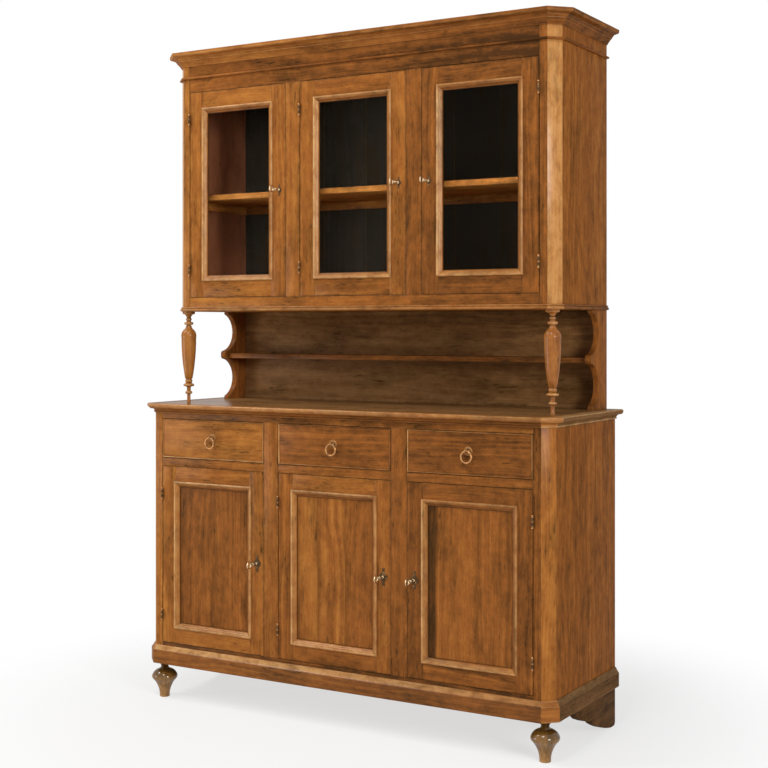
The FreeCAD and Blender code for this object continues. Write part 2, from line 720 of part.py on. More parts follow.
def hinge_halves(z):
    """A lift-off hinge centred at height z: the fixed half with its pin, and the door's half."""
    x, y, r = hinge_axis_x, hinge_axis_y, hinge_barrel_radius
    low, middle, high = z - hinge_height / 2, z, z + hinge_height / 2
    bottom, crown = hinge_finial_height, high + hinge_end_clearance
    finial = 0.75 * r
    base = [(0, low - bottom), (finial, low - 0.5 * bottom), (r, low), (r, middle), (0, middle)]
    cap = [(0, crown), (hinge_pin_radius, crown), (finial, crown + 0.5 * bottom), (0, crown + bottom)]
    pin = Part.makeCylinder(hinge_pin_radius, crown - middle, V(x, y, middle))
    fixed = turned(base, hinge_flat_count, x, y).multiFuse([pin, turned(cap, hinge_flat_count, x, y)])
    bore = hinge_pin_radius + hinge_bore_clearance
    seat = middle + hinge_end_clearance
    barrel = turned([(0, seat), (r, seat), (r, high), (0, high)], hinge_flat_count, x, y)
    moving = barrel.cut(Part.makeCylinder(bore, high - middle, V(x, y, middle)))
    inner, outer = x - leaf_clearance / 2, x - leaf_clearance / 2 - leaf_thickness
    fixed_leaf = box(outer, inner, 0, leaf_depth, low, high).fuse(box(outer, inner, y + bore, 0, low, middle))
    inner, outer = x + leaf_clearance / 2, x + leaf_clearance / 2 + leaf_thickness
    moving_leaf = box(inner, outer, 0, leaf_depth, low, high)
    moving_leaf = moving_leaf.fuse(box(inner, outer, y + bore, 0, seat, high))
    return (fixed.fuse(fixed_leaf).removeSplitter().Solids[0],
            moving.fuse(moving_leaf).removeSplitter().Solids[0])


def leaf_seat(edge, outwards, z):
    """The recess for a hinge leaf, cut into a door's edge or a jamb."""
    far = edge + outwards * leaf_recess
    return box(min(edge, far), max(edge, far), -1, leaf_depth, z - hinge_height / 2, z + hinge_height / 2)


def lock_case(width, height):
    """A case on the back of the free stile, open towards the door, with a slot for the bolt."""
    x, z, t = width - door_gap - lock_backset, height / 2, frame_thickness
    x1 = width - door_gap - lock_edge_inset
    x0 = x1 - lock_case_length
    w = lock_case_wall
    low, high = z - lock_case_below, z + lock_case_above
    case = box(x0, x1, t, t + lock_case_depth, low, high)
    case = case.cut(box(x0 + w, x1 - w, t, t + lock_case_depth - w, low + w, high - w))
    c = bolt_clearance
    y, a = bolt_place(height)
    slot = box(x1 - 2 * w, x1 + w, y - c, y + bolt_thickness + c, a - c, a + bolt_height + c)
    return case.cut(slot).Solids[0]


def bolt_place(height):
    """The front face and the underside of the bolt, which clears the turning bit below it."""
    y = frame_thickness + (lock_case_depth - lock_case_wall - bolt_thickness) / 2
    return y, height / 2 + key_bit_radius + 1.5


def bolt(width, height):
    y, z = bolt_place(height)
    x1 = width - door_gap - lock_edge_inset
    return box(x1 - bolt_length, x1, y, y + bolt_thickness, z, z + bolt_height)


def key(width, height):
    """A key whose bit rests pointing down, with a flat ring bow in the vertical plane."""
    x, z, t = width - door_gap - lock_backset, height / 2, frame_thickness
    bow_y = key_bow_radius - key_reach
    tip = t + lock_case_depth - lock_case_wall - 1
    root = bow_y + key_bow_radius - key_bow_band / 2
    shaft = Part.makeCylinder(key_shaft_radius, tip - root, V(x, root, z), V(0, 1, 0))
    hole_radius = key_bow_radius - key_bow_band
    band = [(hole_radius, 0), (key_bow_radius, 0), (key_bow_radius, key_bow_thickness),
            (hole_radius, key_bow_thickness)]
    bow = turned(band, key_bow_flat_count)
    bow.rotate(V(0, 0, 0), V(0, 1, 0), 90)
    bow = moved(bow, x - key_bow_thickness / 2, bow_y, z)
    collar_end = -escutcheon_thickness - 2
    collar = rod(x, collar_end - key_collar_length, collar_end, z, key_collar_radius, key_flat_count)
    bit_y = bolt_place(height)[0] + (bolt_thickness - key_bit_width) / 2
    half = key_bit_thickness / 2
    bit = box(x - half, x + half, bit_y, bit_y + key_bit_width, z - key_bit_radius, z)
    return shaft.multiFuse([bow, collar, bit]).removeSplitter().Solids[0]


def escutcheon(width, height, tall):
    """A shaped plate: a round middle between two small lobes joined by hollow sides."""
    x, z = width - door_gap - lock_backset, height / 2
    h, lobe, belly = tall / 2, 0.1 * tall, 0.21 * tall
    neck = 0.055 * tall
    outline = [(x - neck, z + 0.62 * h), ((x, z + h), (x + neck, z + 0.62 * h)),
               ((x + lobe, z + 0.42 * h), (x + belly, z + 0.16 * h)),
               (x + belly, z - 0.16 * h), ((x + lobe, z - 0.42 * h), (x + neck, z - 0.62 * h)),
               ((x, z - h), (x - neck, z - 0.62 * h)), ((x - lobe, z - 0.42 * h), (x - belly, z - 0.16 * h)),
               (x - belly, z + 0.16 * h), ((x - lobe, z + 0.42 * h), (x - neck, z + 0.62 * h))]
    outline = straightened(outline, moulding_step_count)
    plate = face_of(outline, in_front).extrude(V(0, escutcheon_thickness, 0))
    plate = moved(plate, 0, -escutcheon_thickness, 0)
    return plate.cut(keyhole(x, z, -escutcheon_thickness - 1, 1)).Solids[0]


door_kinds = {
    "hutch": dict(openings=hutch_openings, width=hutch_opening_width, height=hutch_opening_height,
                  front=hutch_setback, bottom=hutch_opening_bottom, stile=hutch_door_stile,
                  rail=hutch_door_rail, glazed=True, plate=hutch_escutcheon_height, infill="glass"),
    "base": dict(openings=base_openings, width=base_opening_width, height=base_opening_height,
                 front=0.0, bottom=base_opening_bottom, stile=base_door_stile, rail=base_door_rail,
                 glazed=False, plate=base_escutcheon_height, infill="panel"),
}


def make_doors(kind):
    """Three doors; the left and centre ones hinge on their left, the right one on its right."""
    door = door_kinds[kind]
    w, h = door["width"], door["height"]
    frame = door_frame(w, h, door["stile"], door["rail"], door["glazed"])
    hinge_heights = (hinge_offset, h - hinge_offset)
    for z in hinge_heights:
        frame[0] = frame[0].cut(leaf_seat(door_gap, 1, z)).Solids[0]
    halves = [hinge_halves(z) for z in hinge_heights]
    case = lock_case(w, h)
    plate = escutcheon(w, h, door["plate"])
    jamb_recesses = []
    for side in sides:
        def place(solid):
            if side == "right":
                solid = mirrored(solid, w / 2)
            return moved(solid, door["openings"][side], door["front"], door["bottom"])
        name = f"{kind}_{side}"
        joints = panel_joints[side]
        if side == "right":
            joints = tuple(1 - share for share in reversed(joints))
        infill = door_infill(w, h, door["stile"], door["rail"], door["glazed"], joints)
        keep(f"{name}_door_frame", [place(solid) for solid in frame])
        keep(f"{name}_door_{door['infill']}", [place(solid) for solid in infill])
        fittings = [half[1] for half in halves] + [case, plate]
        keep(f"{name}_door_fittings", [place(solid) for solid in fittings])
        keep(f"{name}_bolt", place(bolt(w, h)))
        keep(f"{name}_key", place(key(w, h)))
        keep("fixed_hinge_halves", [place(half[0]) for half in halves])
        jamb_recesses += [place(leaf_seat(0, -1, z)) for z in hinge_heights]
    return jamb_recesses


# ---------------------------------------------------------------- drawers
def make_drawers():
    w, h = base_opening_width, drawer_opening_height
    x0, x1, z0, z1 = door_gap, w - door_gap, door_gap, h - door_gap
    t, s, e = frame_thickness, drawer_side_thickness, drawer_groove_depth
    bead = cock_bead_width
    front = box(x0, x1, cock_bead_depth, t, z0, z1)
    front = front.fuse(box(x0 + bead, x1 - bead, 0, cock_bead_depth, z0 + bead, z1 - bead)).removeSplitter()
    nose = cock_bead_rise - bead / 2
    profile = [(0, -cock_bead_depth), (0, nose), ((bead / 2, cock_bead_rise), (bead, nose)),
               (bead, -cock_bead_depth)]
    beads = front_mouldings(straightened(profile, moulding_step_count), x0, x1, z0, z1)
    low = drawer_running_clearance
    high = h - drawer_side_drop
    end = drawer_length
    panel_z = low + drawer_groove_rise
    bottom = box(x0 + s - e, x1 - s + e, t - e, end, panel_z, panel_z + drawer_bottom_thickness)
    groove = box(x0 + s - e, x1 - s + e, t - e, end + 1, panel_z, panel_z + drawer_bottom_thickness)
    front = front.cut(groove).Solids[0]
    walls = [box(x0, x0 + s, t, end, low, high).cut(groove).Solids[0],
             box(x1 - s, x1, t, end, low, high).cut(groove).Solids[0],
             box(x0 + s, x1 - s, end - drawer_back_thickness, end, panel_z + drawer_bottom_thickness, high)]
    x, y, z = w / 2, -pull_reach, h / 2 + pull_rise
    rosette = drawer_rosette(x, y, z)
    ring = pull_ring(x, y, z - ring_radius)
    for side, left in base_openings.items():
        def place(solid):
            return moved(solid, left, 0, drawer_opening_bottom)
        keep(f"{side}_drawer_box", [place(solid) for solid in [front] + beads + walls + [bottom]])
        keep(f"{side}_drawer_rosette", place(rosette))
        keep(f"{side}_drawer_ring", place(ring))


def drawer_rosette(x, y, z):
    """A turned plate with a stud that ends in an eye."""
    rim = rosette_thickness / 2
    eye_back = -y - pull_eye_radius / 2
    outline = [(0, 0), (rosette_radius, 0), (rosette_radius, rim), (rosette_radius - 2, rosette_thickness),
               (2 * pull_stud_radius, rosette_thickness), (pull_stud_radius, 2 * rosette_thickness),
               (pull_stud_radius, eye_back), (0, eye_back)]
    plate = turned(outline, rosette_flat_count)
    plate.rotate(V(0, 0, 0), V(1, 0, 0), 90)
    width = pull_eye_width
    eye = turned([(0, 0), (pull_eye_radius, 0), (pull_eye_radius, width), (0, width)], eye_flat_count)
    eye.rotate(V(0, 0, 0), V(0, 1, 0), 90)
    eye = moved(eye, x - width / 2, y, z)
    bore = ring_wire_radius + ring_clearance
    drill = Part.makeCylinder(bore, 2 * width, V(x - width, y, z), V(1, 0, 0))
    return moved(plate, x, 0, z).fuse(eye).cut(drill).removeSplitter().Solids[0]


def pull_ring(x, y, z):
    """The loose ring of round wire."""
    wire = [(ring_radius + ring_wire_radius * math.cos(2 * math.pi * (i + 0.5) / ring_wire_flat_count),
             ring_wire_radius * math.sin(2 * math.pi * (i + 0.5) / ring_wire_flat_count))
            for i in range(ring_wire_flat_count)]
    ring = turned(wire, ring_flat_count)
    ring.rotate(V(0, 0, 0), V(1, 0, 0), 90)
    return moved(ring, x, y, z)


# ---------------------------------------------------------------- build and write
recesses = make_doors("hutch") + make_doors("base")
make_drawers()
make_base(recesses)
make_plinth()
make_feet()
make_worktop()
make_niche()
make_hutch(recesses)

os.makedirs("parts", exist_ok=True)
for name, solids in nodes.items():
    shape = Part.makeCompound(solids)
    shape.translate(V(0, -footprint_middle, 0))
    if not shape.isValid() or any(solid.ShapeType != "Solid" for solid in solids):
        raise RuntimeError(f"{name} is not made of sound solids")
    shape.exportStep(f"parts/{name}.step")
print(len(nodes), "nodes,", sum(len(solids) for solids in nodes.values()), "solids")
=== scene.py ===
import json
import math
import random

import bmesh
import bpy
from mathutils import Matrix, Vector

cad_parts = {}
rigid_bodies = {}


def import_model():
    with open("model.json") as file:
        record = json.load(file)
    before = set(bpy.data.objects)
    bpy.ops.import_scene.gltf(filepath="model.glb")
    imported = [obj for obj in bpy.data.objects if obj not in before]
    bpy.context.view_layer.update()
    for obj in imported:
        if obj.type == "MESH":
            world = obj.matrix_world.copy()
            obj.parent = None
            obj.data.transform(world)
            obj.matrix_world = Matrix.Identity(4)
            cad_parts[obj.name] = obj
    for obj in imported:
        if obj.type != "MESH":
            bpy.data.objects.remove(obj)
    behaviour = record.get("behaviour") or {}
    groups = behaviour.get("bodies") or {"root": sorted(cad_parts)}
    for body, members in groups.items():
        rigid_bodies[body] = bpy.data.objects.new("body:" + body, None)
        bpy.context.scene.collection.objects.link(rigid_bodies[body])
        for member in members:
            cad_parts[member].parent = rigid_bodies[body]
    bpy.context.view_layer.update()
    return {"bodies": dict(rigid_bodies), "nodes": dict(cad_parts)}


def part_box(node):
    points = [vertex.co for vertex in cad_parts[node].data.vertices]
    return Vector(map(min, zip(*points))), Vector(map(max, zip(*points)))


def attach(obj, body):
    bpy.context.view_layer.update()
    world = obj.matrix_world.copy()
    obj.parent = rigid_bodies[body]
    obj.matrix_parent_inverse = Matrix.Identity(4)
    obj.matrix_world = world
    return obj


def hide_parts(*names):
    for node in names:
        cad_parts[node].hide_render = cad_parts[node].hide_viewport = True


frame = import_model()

# Dresser with hutch: stained and waxed cherry joinery, turned niche columns, aged brass hardware.
# Lengths are metres; outlines of mouldings and turnings are written in millimetres, and an arc in an
# outline is a pair of points, one on the arc and its end.
# A tone says how much paler (over 0) or darker (under 0) than its material a board is: 1 is some 13
# of 255 levels. Runs of mouldings are named in order: round a door or drawer bottom, right, top, left,
# and round the carcass left side, left cant, front, right cant, right side.
# Many tones and tone slopes are painted light: lighter where light falls, darker in shade.

bl_info = {
    "name": "Dresser with hutch",
    "version": (1, 0, 0),
    "blender": (4, 5, 0),
    "location": "3D View > Sidebar > Dresser",
    "description": "Dresses the dresser's solids with joinery, turnings, fittings and finishes",
    "category": "Object",
}

MM = 0.001
SIDES = ("left", "centre", "right")
KINDS = ("hutch", "base")
BASE_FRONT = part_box("base_face_frame")[0].y
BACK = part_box("base_side_panels")[1].y
HUTCH_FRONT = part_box("hutch_face_frame")[0].y
HUTCH_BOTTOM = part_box("hutch_side_panels")[0].z
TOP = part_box("cornice_and_beads")[1].z
BASE_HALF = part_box("base_side_panels")[1].x
HUTCH_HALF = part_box("hutch_side_panels")[1].x
ROW_OF_DOORS = {"hutch": HUTCH_FRONT, "base": BASE_FRONT}

DOOR_TONES = {"left": 0.3, "centre": 0.2, "right": -1.2}
PANEL_TONES = {"left": (-1.5, -1.0), "centre": (0.8, 0.5, -0.5), "right": (-2.0, 0.2, -0.3)}
# painted light: the left drawer front is lighter, the right one darker
DRAWER_TONES = {"left": 1.2, "centre": -0.9, "right": -1.3}
BEAD_TONES = {"left": (-0.4, -0.8, -1.8, -1.2), "centre": (-1.4, -1.6, -1.8, 1.6),
              "right": (-1.2, -0.4, -0.9, 2.2)}
GLEAM = {"hutch": (0.35, 0.05, 0.0, 0.45), "base": (0.4, 0.05, 0.05, 0.25)}   # painted sheen on the doors' mouldings by run: strongest on the bottom and left runs, which face the light
GLOOM = {"left": 0.25, "centre": 0.1, "right": 0.7}     # painted shadow along the left edge of each door's panel
PAINTED_LIGHT_SLOPE = Vector((-0.9, 0.0, 0.0))     # tone per metre: painted light, the wood lighter towards the left end, where more light falls
VECTORS = ("grain", "centred", "half")      # what each board's points know of their place in the board
UPWARDS = (0, 0, 1)
WHITE = (1, 1, 1, 1)


def linear(code):
    """An sRGB hex colour as linear red, green, blue and alpha."""
    values = [int(code[i:i + 2], 16) / 255 for i in (1, 3, 5)]
    return tuple(v / 12.92 if v <= 0.04045 else ((v + 0.055) / 1.055) ** 2.4 for v in values) + (1.0,)


def length(name, description, default):
    return bpy.props.FloatProperty(name=name, description=description, default=default, unit="LENGTH",
                                   min=0.0)


def colour(name, description, code):
    return bpy.props.FloatVectorProperty(name=name, description=description, default=linear(code),
                                         subtype="COLOR", size=4, min=0.0, max=1.0)


class DRESSER_joinery(bpy.types.PropertyGroup):
    edge_round: length("Edge rounding", "Width of the rubbed edge of each board", 0.0009)
    cant: length("Cant", "Leg of the 45 degree corner of the base", 0.033)
    hutch_cant: length("Hutch cant", "Leg of the 45 degree corner of the hutch", 0.034)
    door_gap: length("Door gap", "Space round each door and drawer", 0.0015)
    glued_width: length("Glued board width", "Width of the boards that wide panels are glued up from", 0.128)
    moulding_width: length("Door moulding width", "Width of the moulding round each panel", 0.020)
    moulding_rise: length("Door moulding rise", "How far the moulding stands proud of the door", 0.0055)
    cock_bead: length("Cock bead width", "Width of the bead round each drawer front", 0.004)


class DRESSER_fittings(bpy.types.PropertyGroup):
    hinge_barrel: length("Hinge barrel radius", "Radius of the hinge knuckles", 0.0042)
    hinge_height: length("Hinge height", "Height of the two knuckles together", 0.028)
    ring_radius: length("Ring radius", "Drawer ring, to the middle of the wire", 0.0174)
    ring_wire: length("Ring wire radius", "Radius of the wire of the drawer rings", 0.0032)
    bow_radius: length("Key bow radius", "Outer radius of the bow of each key", 0.012)
    nail_radius: length("Nail head radius", "Radius of the nail heads in the back boards", 0.0034)
    screw_radius: length("Screw head radius", "Radius of the screw heads in the lock cases", 0.0023)


class DRESSER_finishes(bpy.types.PropertyGroup):
    dark: colour("Dark streaks", "Stained cherry, its dark streaks", "#4d2f16")
    middle: colour("Middle", "Stained cherry, its main colour", "#955927")
    light: colour("Light", "Stained cherry, its light streaks", "#bf7d39")
    # painted highlight: this light colour also stands in for the sheen of the lamps on crests and edges
    rubbed_and_sheen: colour("Rubbed crests", "Cherry rubbed through the stain on crests and edges", "#d3a569")
    # painted shade: this dark colour also fills the mouldings' quirks and the panels' edges, where shade
    # falls
    wax: colour("Dark wax", "Antiquing wax and dirt in hollows and along edges", "#35250f")
    worktop_dark: colour("Worktop dark", "Dark streaks of the worktop", "#412b17")
    worktop_middle: colour("Worktop middle", "Main colour of the worktop", "#835c36")
    worktop_light: colour("Worktop light", "Light streaks of the worktop", "#a57c50")
    foot_dark: colour("Feet dark", "Dark streaks of the feet", "#2b1c0b")
    foot_middle: colour("Feet middle", "Main colour of the feet", "#74501f")
    foot_light: colour("Feet light", "Light streaks of the feet", "#b8864a")
    inside_dark: colour("Cupboard back dark", "Dark streaks of the ebonised back", "#332f29")
    inside_light: colour("Cupboard back light", "Light streaks of the ebonised back", "#4a433a")
    inside_red: colour("Inside of the sides", "Red-brown stain on the inner faces of the hutch", "#7e4b33")
    raw_dark: colour("Bare spruce dark", "Late wood of the unfinished boards", "#a07c50")
    raw_light: colour("Bare spruce light", "Early wood of the unfinished boards", "#cdb083")
    brass: colour("Aged brass", "Rubbed brass of rings and finials", "#b68454")
    pale_brass: colour("Pale brass", "Handled brass of the keys", "#d3bb95")
    bronze: colour("Tarnish", "Dark tarnish in the hollows of the brass", "#5a4530")
    rosette: colour("Rosette", "Brown lacquered brass of rosettes and hinges", "#a97a4a")
    steel: colour("Filed steel", "Bolts and screws", "#8d8b88")


def lamp_power(name, description, default):
    return bpy.props.FloatProperty(name=name, description=description, default=default, subtype="POWER")


class DRESSER_studio(bpy.types.PropertyGroup):
    lens: bpy.props.FloatProperty(name="Lens", description="Focal length of the camera", default=65.4,
                                  unit="CAMERA", min=10.0)
    key_power: lamp_power("Key power", "Power of the lamp at the right", 120.0)
    top_power: lamp_power("Top power", "Power of the high front lamp", 60.0)
    left_power: lamp_power("Left power", "Power of the lamp at the left", 90.0)
    low_power: lamp_power("Low power", "Power of the low lamp at the front left", 30.0)
    world_light: bpy.props.FloatProperty(name="World light", description="Strength of the even light",
                                         default=0.24, min=0.0)


def joinery():
    return bpy.context.scene.dresser_joinery


def fittings():
    return bpy.context.scene.dresser_fittings


def finishes():
    return bpy.context.scene.dresser_finishes


# ---------------------------------------------------------------- materials
MATH = "ShaderNodeMath"
VECTOR_MATH = "ShaderNodeVectorMath"
ATTRIBUTE = "ShaderNodeAttribute"
SPLIT = "ShaderNodeSeparateXYZ"
NOISE = "ShaderNodeTexNoise"
MIX = "ShaderNodeMix"
RANGE = "ShaderNodeMapRange"
PRINCIPLED = "ShaderNodeBsdfPrincipled"
MIX_SHADER = "ShaderNodeMixShader"
OUTPUT = "ShaderNodeOutputMaterial"
CIRCLE = "GeometryNodeCurvePrimitiveCircle"
CLAMPED_ADD = {"operation": "MULTIPLY_ADD", "use_clamp": True}
SMOOTH = {"interpolation_type": "SMOOTHSTEP"}
COLOURS = {"data_type": "RGBA"}     # for a mix of two colours, which are its inputs 6 and 7


def add(tree, kind, settings, inputs, output=0):
    """Adds a node, fills its inputs with values or links, and gives back one of its outputs.

    Settings may be just the name of an operation; inputs may be a tuple that fills them in order.
    """
    node = tree.nodes.new(kind)
    for name, value in ({"operation": settings} if isinstance(settings, str) else settings).items():
        setattr(node, name, value)
    for name, value in inputs.items() if isinstance(inputs, dict) else enumerate(inputs):
        if isinstance(value, bpy.types.NodeSocket):
            tree.links.new(value, node.inputs[name])
        else:
            node.inputs[name].default_value = value
    return node.outputs[output] if len(node.outputs) else None


def finish(name):
    """A new material with its empty tree; or the one of that name, and None for its tree."""
    material = bpy.data.materials.get(name)
    if material:
        return material, None
    material = bpy.data.materials.new(name)
    material.use_nodes = True
    material.node_tree.nodes.clear()
    return material, material.node_tree


def glued_up(tree, grain, tone, width):
    """Shifts grain and tone from board to board of a panel that is glued up from boards of one width."""
    across = add(tree, SPLIT, {}, (grain,), "Y")
    boards = add(tree, MATH, "DIVIDE", (across, width))
    number = add(tree, MATH, "FLOOR", (boards,))
    chance = add(tree, "ShaderNodeTexWhiteNoise", {"noise_dimensions": "1D"}, {"W": number}, "Color")
    grain = add(tree, VECTOR_MATH, "MULTIPLY_ADD", (chance, (5.0, 0.0, 0.3), grain))
    lot = add(tree, "ShaderNodeSeparateColor", {}, (chance,), "Red")
    tone = add(tree, MATH, "MULTIPLY_ADD", (lot, 1.2, tone))
    return grain, add(tree, MATH, "SUBTRACT", (tone, 0.6))


def figure(tree, grain):
    """The parts of the wood's figure by name; each pattern is drawn out along the grain."""
    wide = add(tree, VECTOR_MATH, "MULTIPLY", (grain, (1.9, 6.0, 6.0)))
    drift = add(tree, NOISE, {}, {"Vector": wide, "Scale": 1.0, "Detail": 2.0}, "Color")
    bent = add(tree, VECTOR_MATH, "MULTIPLY_ADD", (drift, (0.0, 0.05, 0.05), grain))
    flat = add(tree, VECTOR_MATH, "MULTIPLY", (bent, (0.0, 1.0, 1.0)))
    radius = add(tree, VECTOR_MATH, "LENGTH", (flat,), "Value")
    parts = {"rings": add(tree, NOISE, {"noise_dimensions": "1D"},
                          {"W": radius, "Scale": 100.0, "Detail": 2.0, "Roughness": 0.5})}
    for part, scale, detail, rough in (
            ("streaks", (2.2, 50.0, 50.0), 3.0, 0.6), ("fibres", (7.0, 260.0, 260.0), 2.0, 0.6),
            ("dashes", (24.0, 150.0, 150.0), 2.0, 0.6), ("pores", (50.0, 1200.0, 1200.0), 1.0, 0.5),
            ("mottle", (20.0, 36.0, 36.0), 5.0, 0.75), ("patches", (4.0, 13.0, 13.0), 4.0, 0.65)):
        at = add(tree, VECTOR_MATH, "MULTIPLY", (bent, scale))
        parts[part] = add(tree, NOISE, {}, {"Vector": at, "Scale": 1.0, "Detail": detail, "Roughness": rough})
    return parts


def edge_shade(tree, centred, half, mottle):
    """Wax that has stayed dark within 17 mm of the edges of boards over 24 mm wide."""
    away = add(tree, VECTOR_MATH, "ABSOLUTE", (centred,))
    room = add(tree, VECTOR_MATH, "SUBTRACT", (half, away))
    rooms = tree.nodes.new(SPLIT)
    tree.links.new(room, rooms.inputs[0])
    edge = add(tree, MATH, "MINIMUM", rooms.outputs[:2])
    edge = add(tree, MATH, "MULTIPLY_ADD", (mottle, 0.02, edge))
    edge = add(tree, RANGE, SMOOTH, (edge, 0.007, 0.017, 0.3, 0.0))
    half_width = add(tree, SPLIT, {}, (half,), "Y")
    broad = add(tree, MATH, "GREATER_THAN", (half_width, 0.012))
    return add(tree, MATH, "MULTIPLY", (edge, broad))


def wood(name, dark, middle, light, roughness, coat, glued=0.0, contrast=1.0):
    """Sawn and planed hardwood, read along its own grain from the boards' attributes.

    Growth rings are about 10 mm apart on these flat-sawn faces, streaks 20 mm wide, dark dashes 7 mm and
    bundles of fibres 4 mm; the stain is mottled by 30 mm and patchy by 80 mm. Pores are really 0.1 mm
    wide and are drawn 0.8 mm wide, so that they show.
    """
    material, tree = finish(name)
    if tree is None:
        return material
    f = finishes()
    grain, centred, half = (add(tree, ATTRIBUTE, {"attribute_name": vector}, {}, "Vector")
                            for vector in VECTORS)
    tone, wear_dirt_and_painted_light, dirt_and_painted_shade = (add(tree, ATTRIBUTE, {"attribute_name": value}, {}, "Fac")
                         for value in ("tone", "wear_dirt_and_painted_light", "dirt_and_painted_shade"))
    if glued:
        grain, tone = glued_up(tree, grain, tone, glued)
    parts = figure(tree, grain)
    fibres, mottle = parts["fibres"], parts["mottle"]
    pores = add(tree, RANGE, {}, (parts["pores"], 0.60, 0.72))
    patches = add(tree, RANGE, SMOOTH, (parts["patches"], 0.44, 0.68))
    dashes = add(tree, MATH, "MULTIPLY_ADD", (patches, 0.10, parts["dashes"]))
    dashes = add(tree, RANGE, {}, (dashes, 0.65, 0.78))

    value = add(tree, MATH, "MULTIPLY_ADD", (tone, 0.12, 0.5 - 1.05 * contrast))
    for part, share in (("rings", 0.4), ("streaks", 0.38), ("fibres", 0.4), ("mottle", 0.92)):
        value = add(tree, MATH, "MULTIPLY_ADD", (parts[part], share * contrast, value))
    ramp = tree.nodes.new("ShaderNodeValToRGB")
    tree.links.new(value, ramp.inputs[0])
    stops = ramp.color_ramp.elements
    stops[0].position, stops[0].color = 0.02, dark
    stops[1].position, stops[1].color = 0.98, light
    stops.new(0.5).color = middle

    shade = edge_shade(tree, centred, half, mottle)
    # the panels' painted shadow along their mouldings darkens the wood here too
    for cause, share in ((patches, 0.34), (dashes, 0.5), (pores, 0.12), (dirt_and_painted_shade, 0.75)):
        shade = add(tree, MATH, "MULTIPLY_ADD", (cause, share, shade))
    shade = add(tree, MATH, "MINIMUM", (shade, 0.85))
    # painted highlight: crests and edges take the light colour, partly real rubbing through the stain, partly
    # sheen
    rubbed_and_sheen = add(tree, RANGE, {}, (wear_dirt_and_painted_light, 0.0, 1.0, 0.0, 0.9))
    uneven = add(tree, RANGE, {}, (mottle, 0.38, 0.6, 0.35, 1.0))
    on_pale = add(tree, MATH, CLAMPED_ADD, (tone, 0.4, 0.85))
    for limit in (uneven, on_pale):
        rubbed_and_sheen = add(tree, MATH, "MULTIPLY", (rubbed_and_sheen, limit))
    dirt_and_shadow = add(tree, RANGE, {}, (wear_dirt_and_painted_light, 0.0, -1.0, 0.0, 0.85))
    tint = ramp.outputs[0]
    for share, cover in ((shade, f.wax), (rubbed_and_sheen, f.rubbed_and_sheen), (dirt_and_shadow, f.wax)):
        tint = add(tree, MIX, COLOURS, {0: share, 6: tint, 7: cover}, 2)

    relief = add(tree, MATH, "MULTIPLY_ADD", (pores, -0.8, fibres))
    relief = add(tree, MATH, "MULTIPLY_ADD", (mottle, 3.0, relief))
    normal = add(tree, "ShaderNodeBump", {}, {"Strength": 0.35, "Distance": 0.0004, "Height": relief})
    gloss = add(tree, MATH, "MULTIPLY_ADD", (fibres, 0.16, roughness - 0.08))
    gloss = add(tree, MATH, CLAMPED_ADD, (shade, 0.15, gloss))
    polish = add(tree, MATH, CLAMPED_ADD, (rubbed_and_sheen, 0.5, coat))
    shader = add(tree, PRINCIPLED, {},
                 {"Base Color": tint, "Roughness": gloss, "Specular IOR Level": 0.0, "Coat Weight": polish,
                  "Coat IOR": 1.5, "Coat Roughness": max(0.08, 0.24 - 0.2 * coat), "Normal": normal})
    add(tree, OUTPUT, {}, {"Surface": shader})
    return material


def metal(name, bright, tarnish, roughness, share, scale):
    """Cast or turned metal: bright where it is rubbed, tarnished in blotches and hollows.

    The scale is in blotches per metre: at 160 they are 6 mm across, with specks a ninth of that.
    """
    material, tree = finish(name)
    if tree is None:
        return material
    place = add(tree, "ShaderNodeTexCoord", {}, {}, "Object")
    wear_dirt_and_painted_light = add(tree, ATTRIBUTE, {"attribute_name": "wear_dirt_and_painted_light"}, {}, "Fac")
    blotch = add(tree, NOISE, {}, {"Vector": place, "Scale": scale, "Detail": 4.0, "Roughness": 0.6})
    specks = add(tree, NOISE, {}, {"Vector": place, "Scale": scale * 9.0, "Detail": 2.0})
    cover = add(tree, MATH, "MULTIPLY_ADD", (specks, 0.35, blotch))
    cover = add(tree, MATH, "MULTIPLY_ADD", (wear_dirt_and_painted_light, -0.25, cover))
    cover = add(tree, RANGE, {}, (cover, 0.85 - share, 1.1 - share))
    gloss = add(tree, MATH, CLAMPED_ADD, (cover, 0.25, roughness))
    normal = add(tree, "ShaderNodeBump", {}, {"Strength": 0.3, "Distance": 0.0002, "Height": specks})
    tint = add(tree, MIX, COLOURS, {0: cover, 6: bright, 7: tarnish}, 2)
    shader = add(tree, PRINCIPLED, {}, {"Base Color": tint, "Metallic": 1.0, "Roughness": gloss,
                                        "Normal": normal})
    add(tree, OUTPUT, {}, {"Surface": shader})
    return material


def cherry(glued=False):
    """Stained and waxed cherry: satin, warm, with dark streaks; wide panels are glued up from boards."""
    f = finishes()
    if glued:
        return wood("Waxed_cherry_glued_up", f.dark, f.middle, f.light, 0.42, 0.06, joinery().glued_width)
    return wood("Waxed_cherry", f.dark, f.middle, f.light, 0.42, 0.1)


def turned_cherry():
    """The same cherry, burnished with wax on the lathe."""
    f = finishes()
    return wood("Burnished_cherry", f.dark, f.middle, f.light, 0.35, 0.22)


def polished_cherry():
    """The same cherry french-polished on the lathe to a high gloss."""
    f = finishes()
    return wood("Polished_cherry", f.dark, f.middle, f.light, 0.3, 0.4)


def foot_cherry():
    """Feet under many coats of brown polish: olive-brown and very glossy."""
    f = finishes()
    return wood("Polished_feet", f.foot_dark, f.foot_middle, f.foot_light, 0.28, 0.8)


def worktop_cherry():
    """The same cherry under a darker, harder varnish, worn smooth."""
    f = finishes()
    return wood("Varnished_worktop", f.worktop_dark, f.worktop_middle, f.worktop_light, 0.3, 0.4,
                joinery().glued_width)


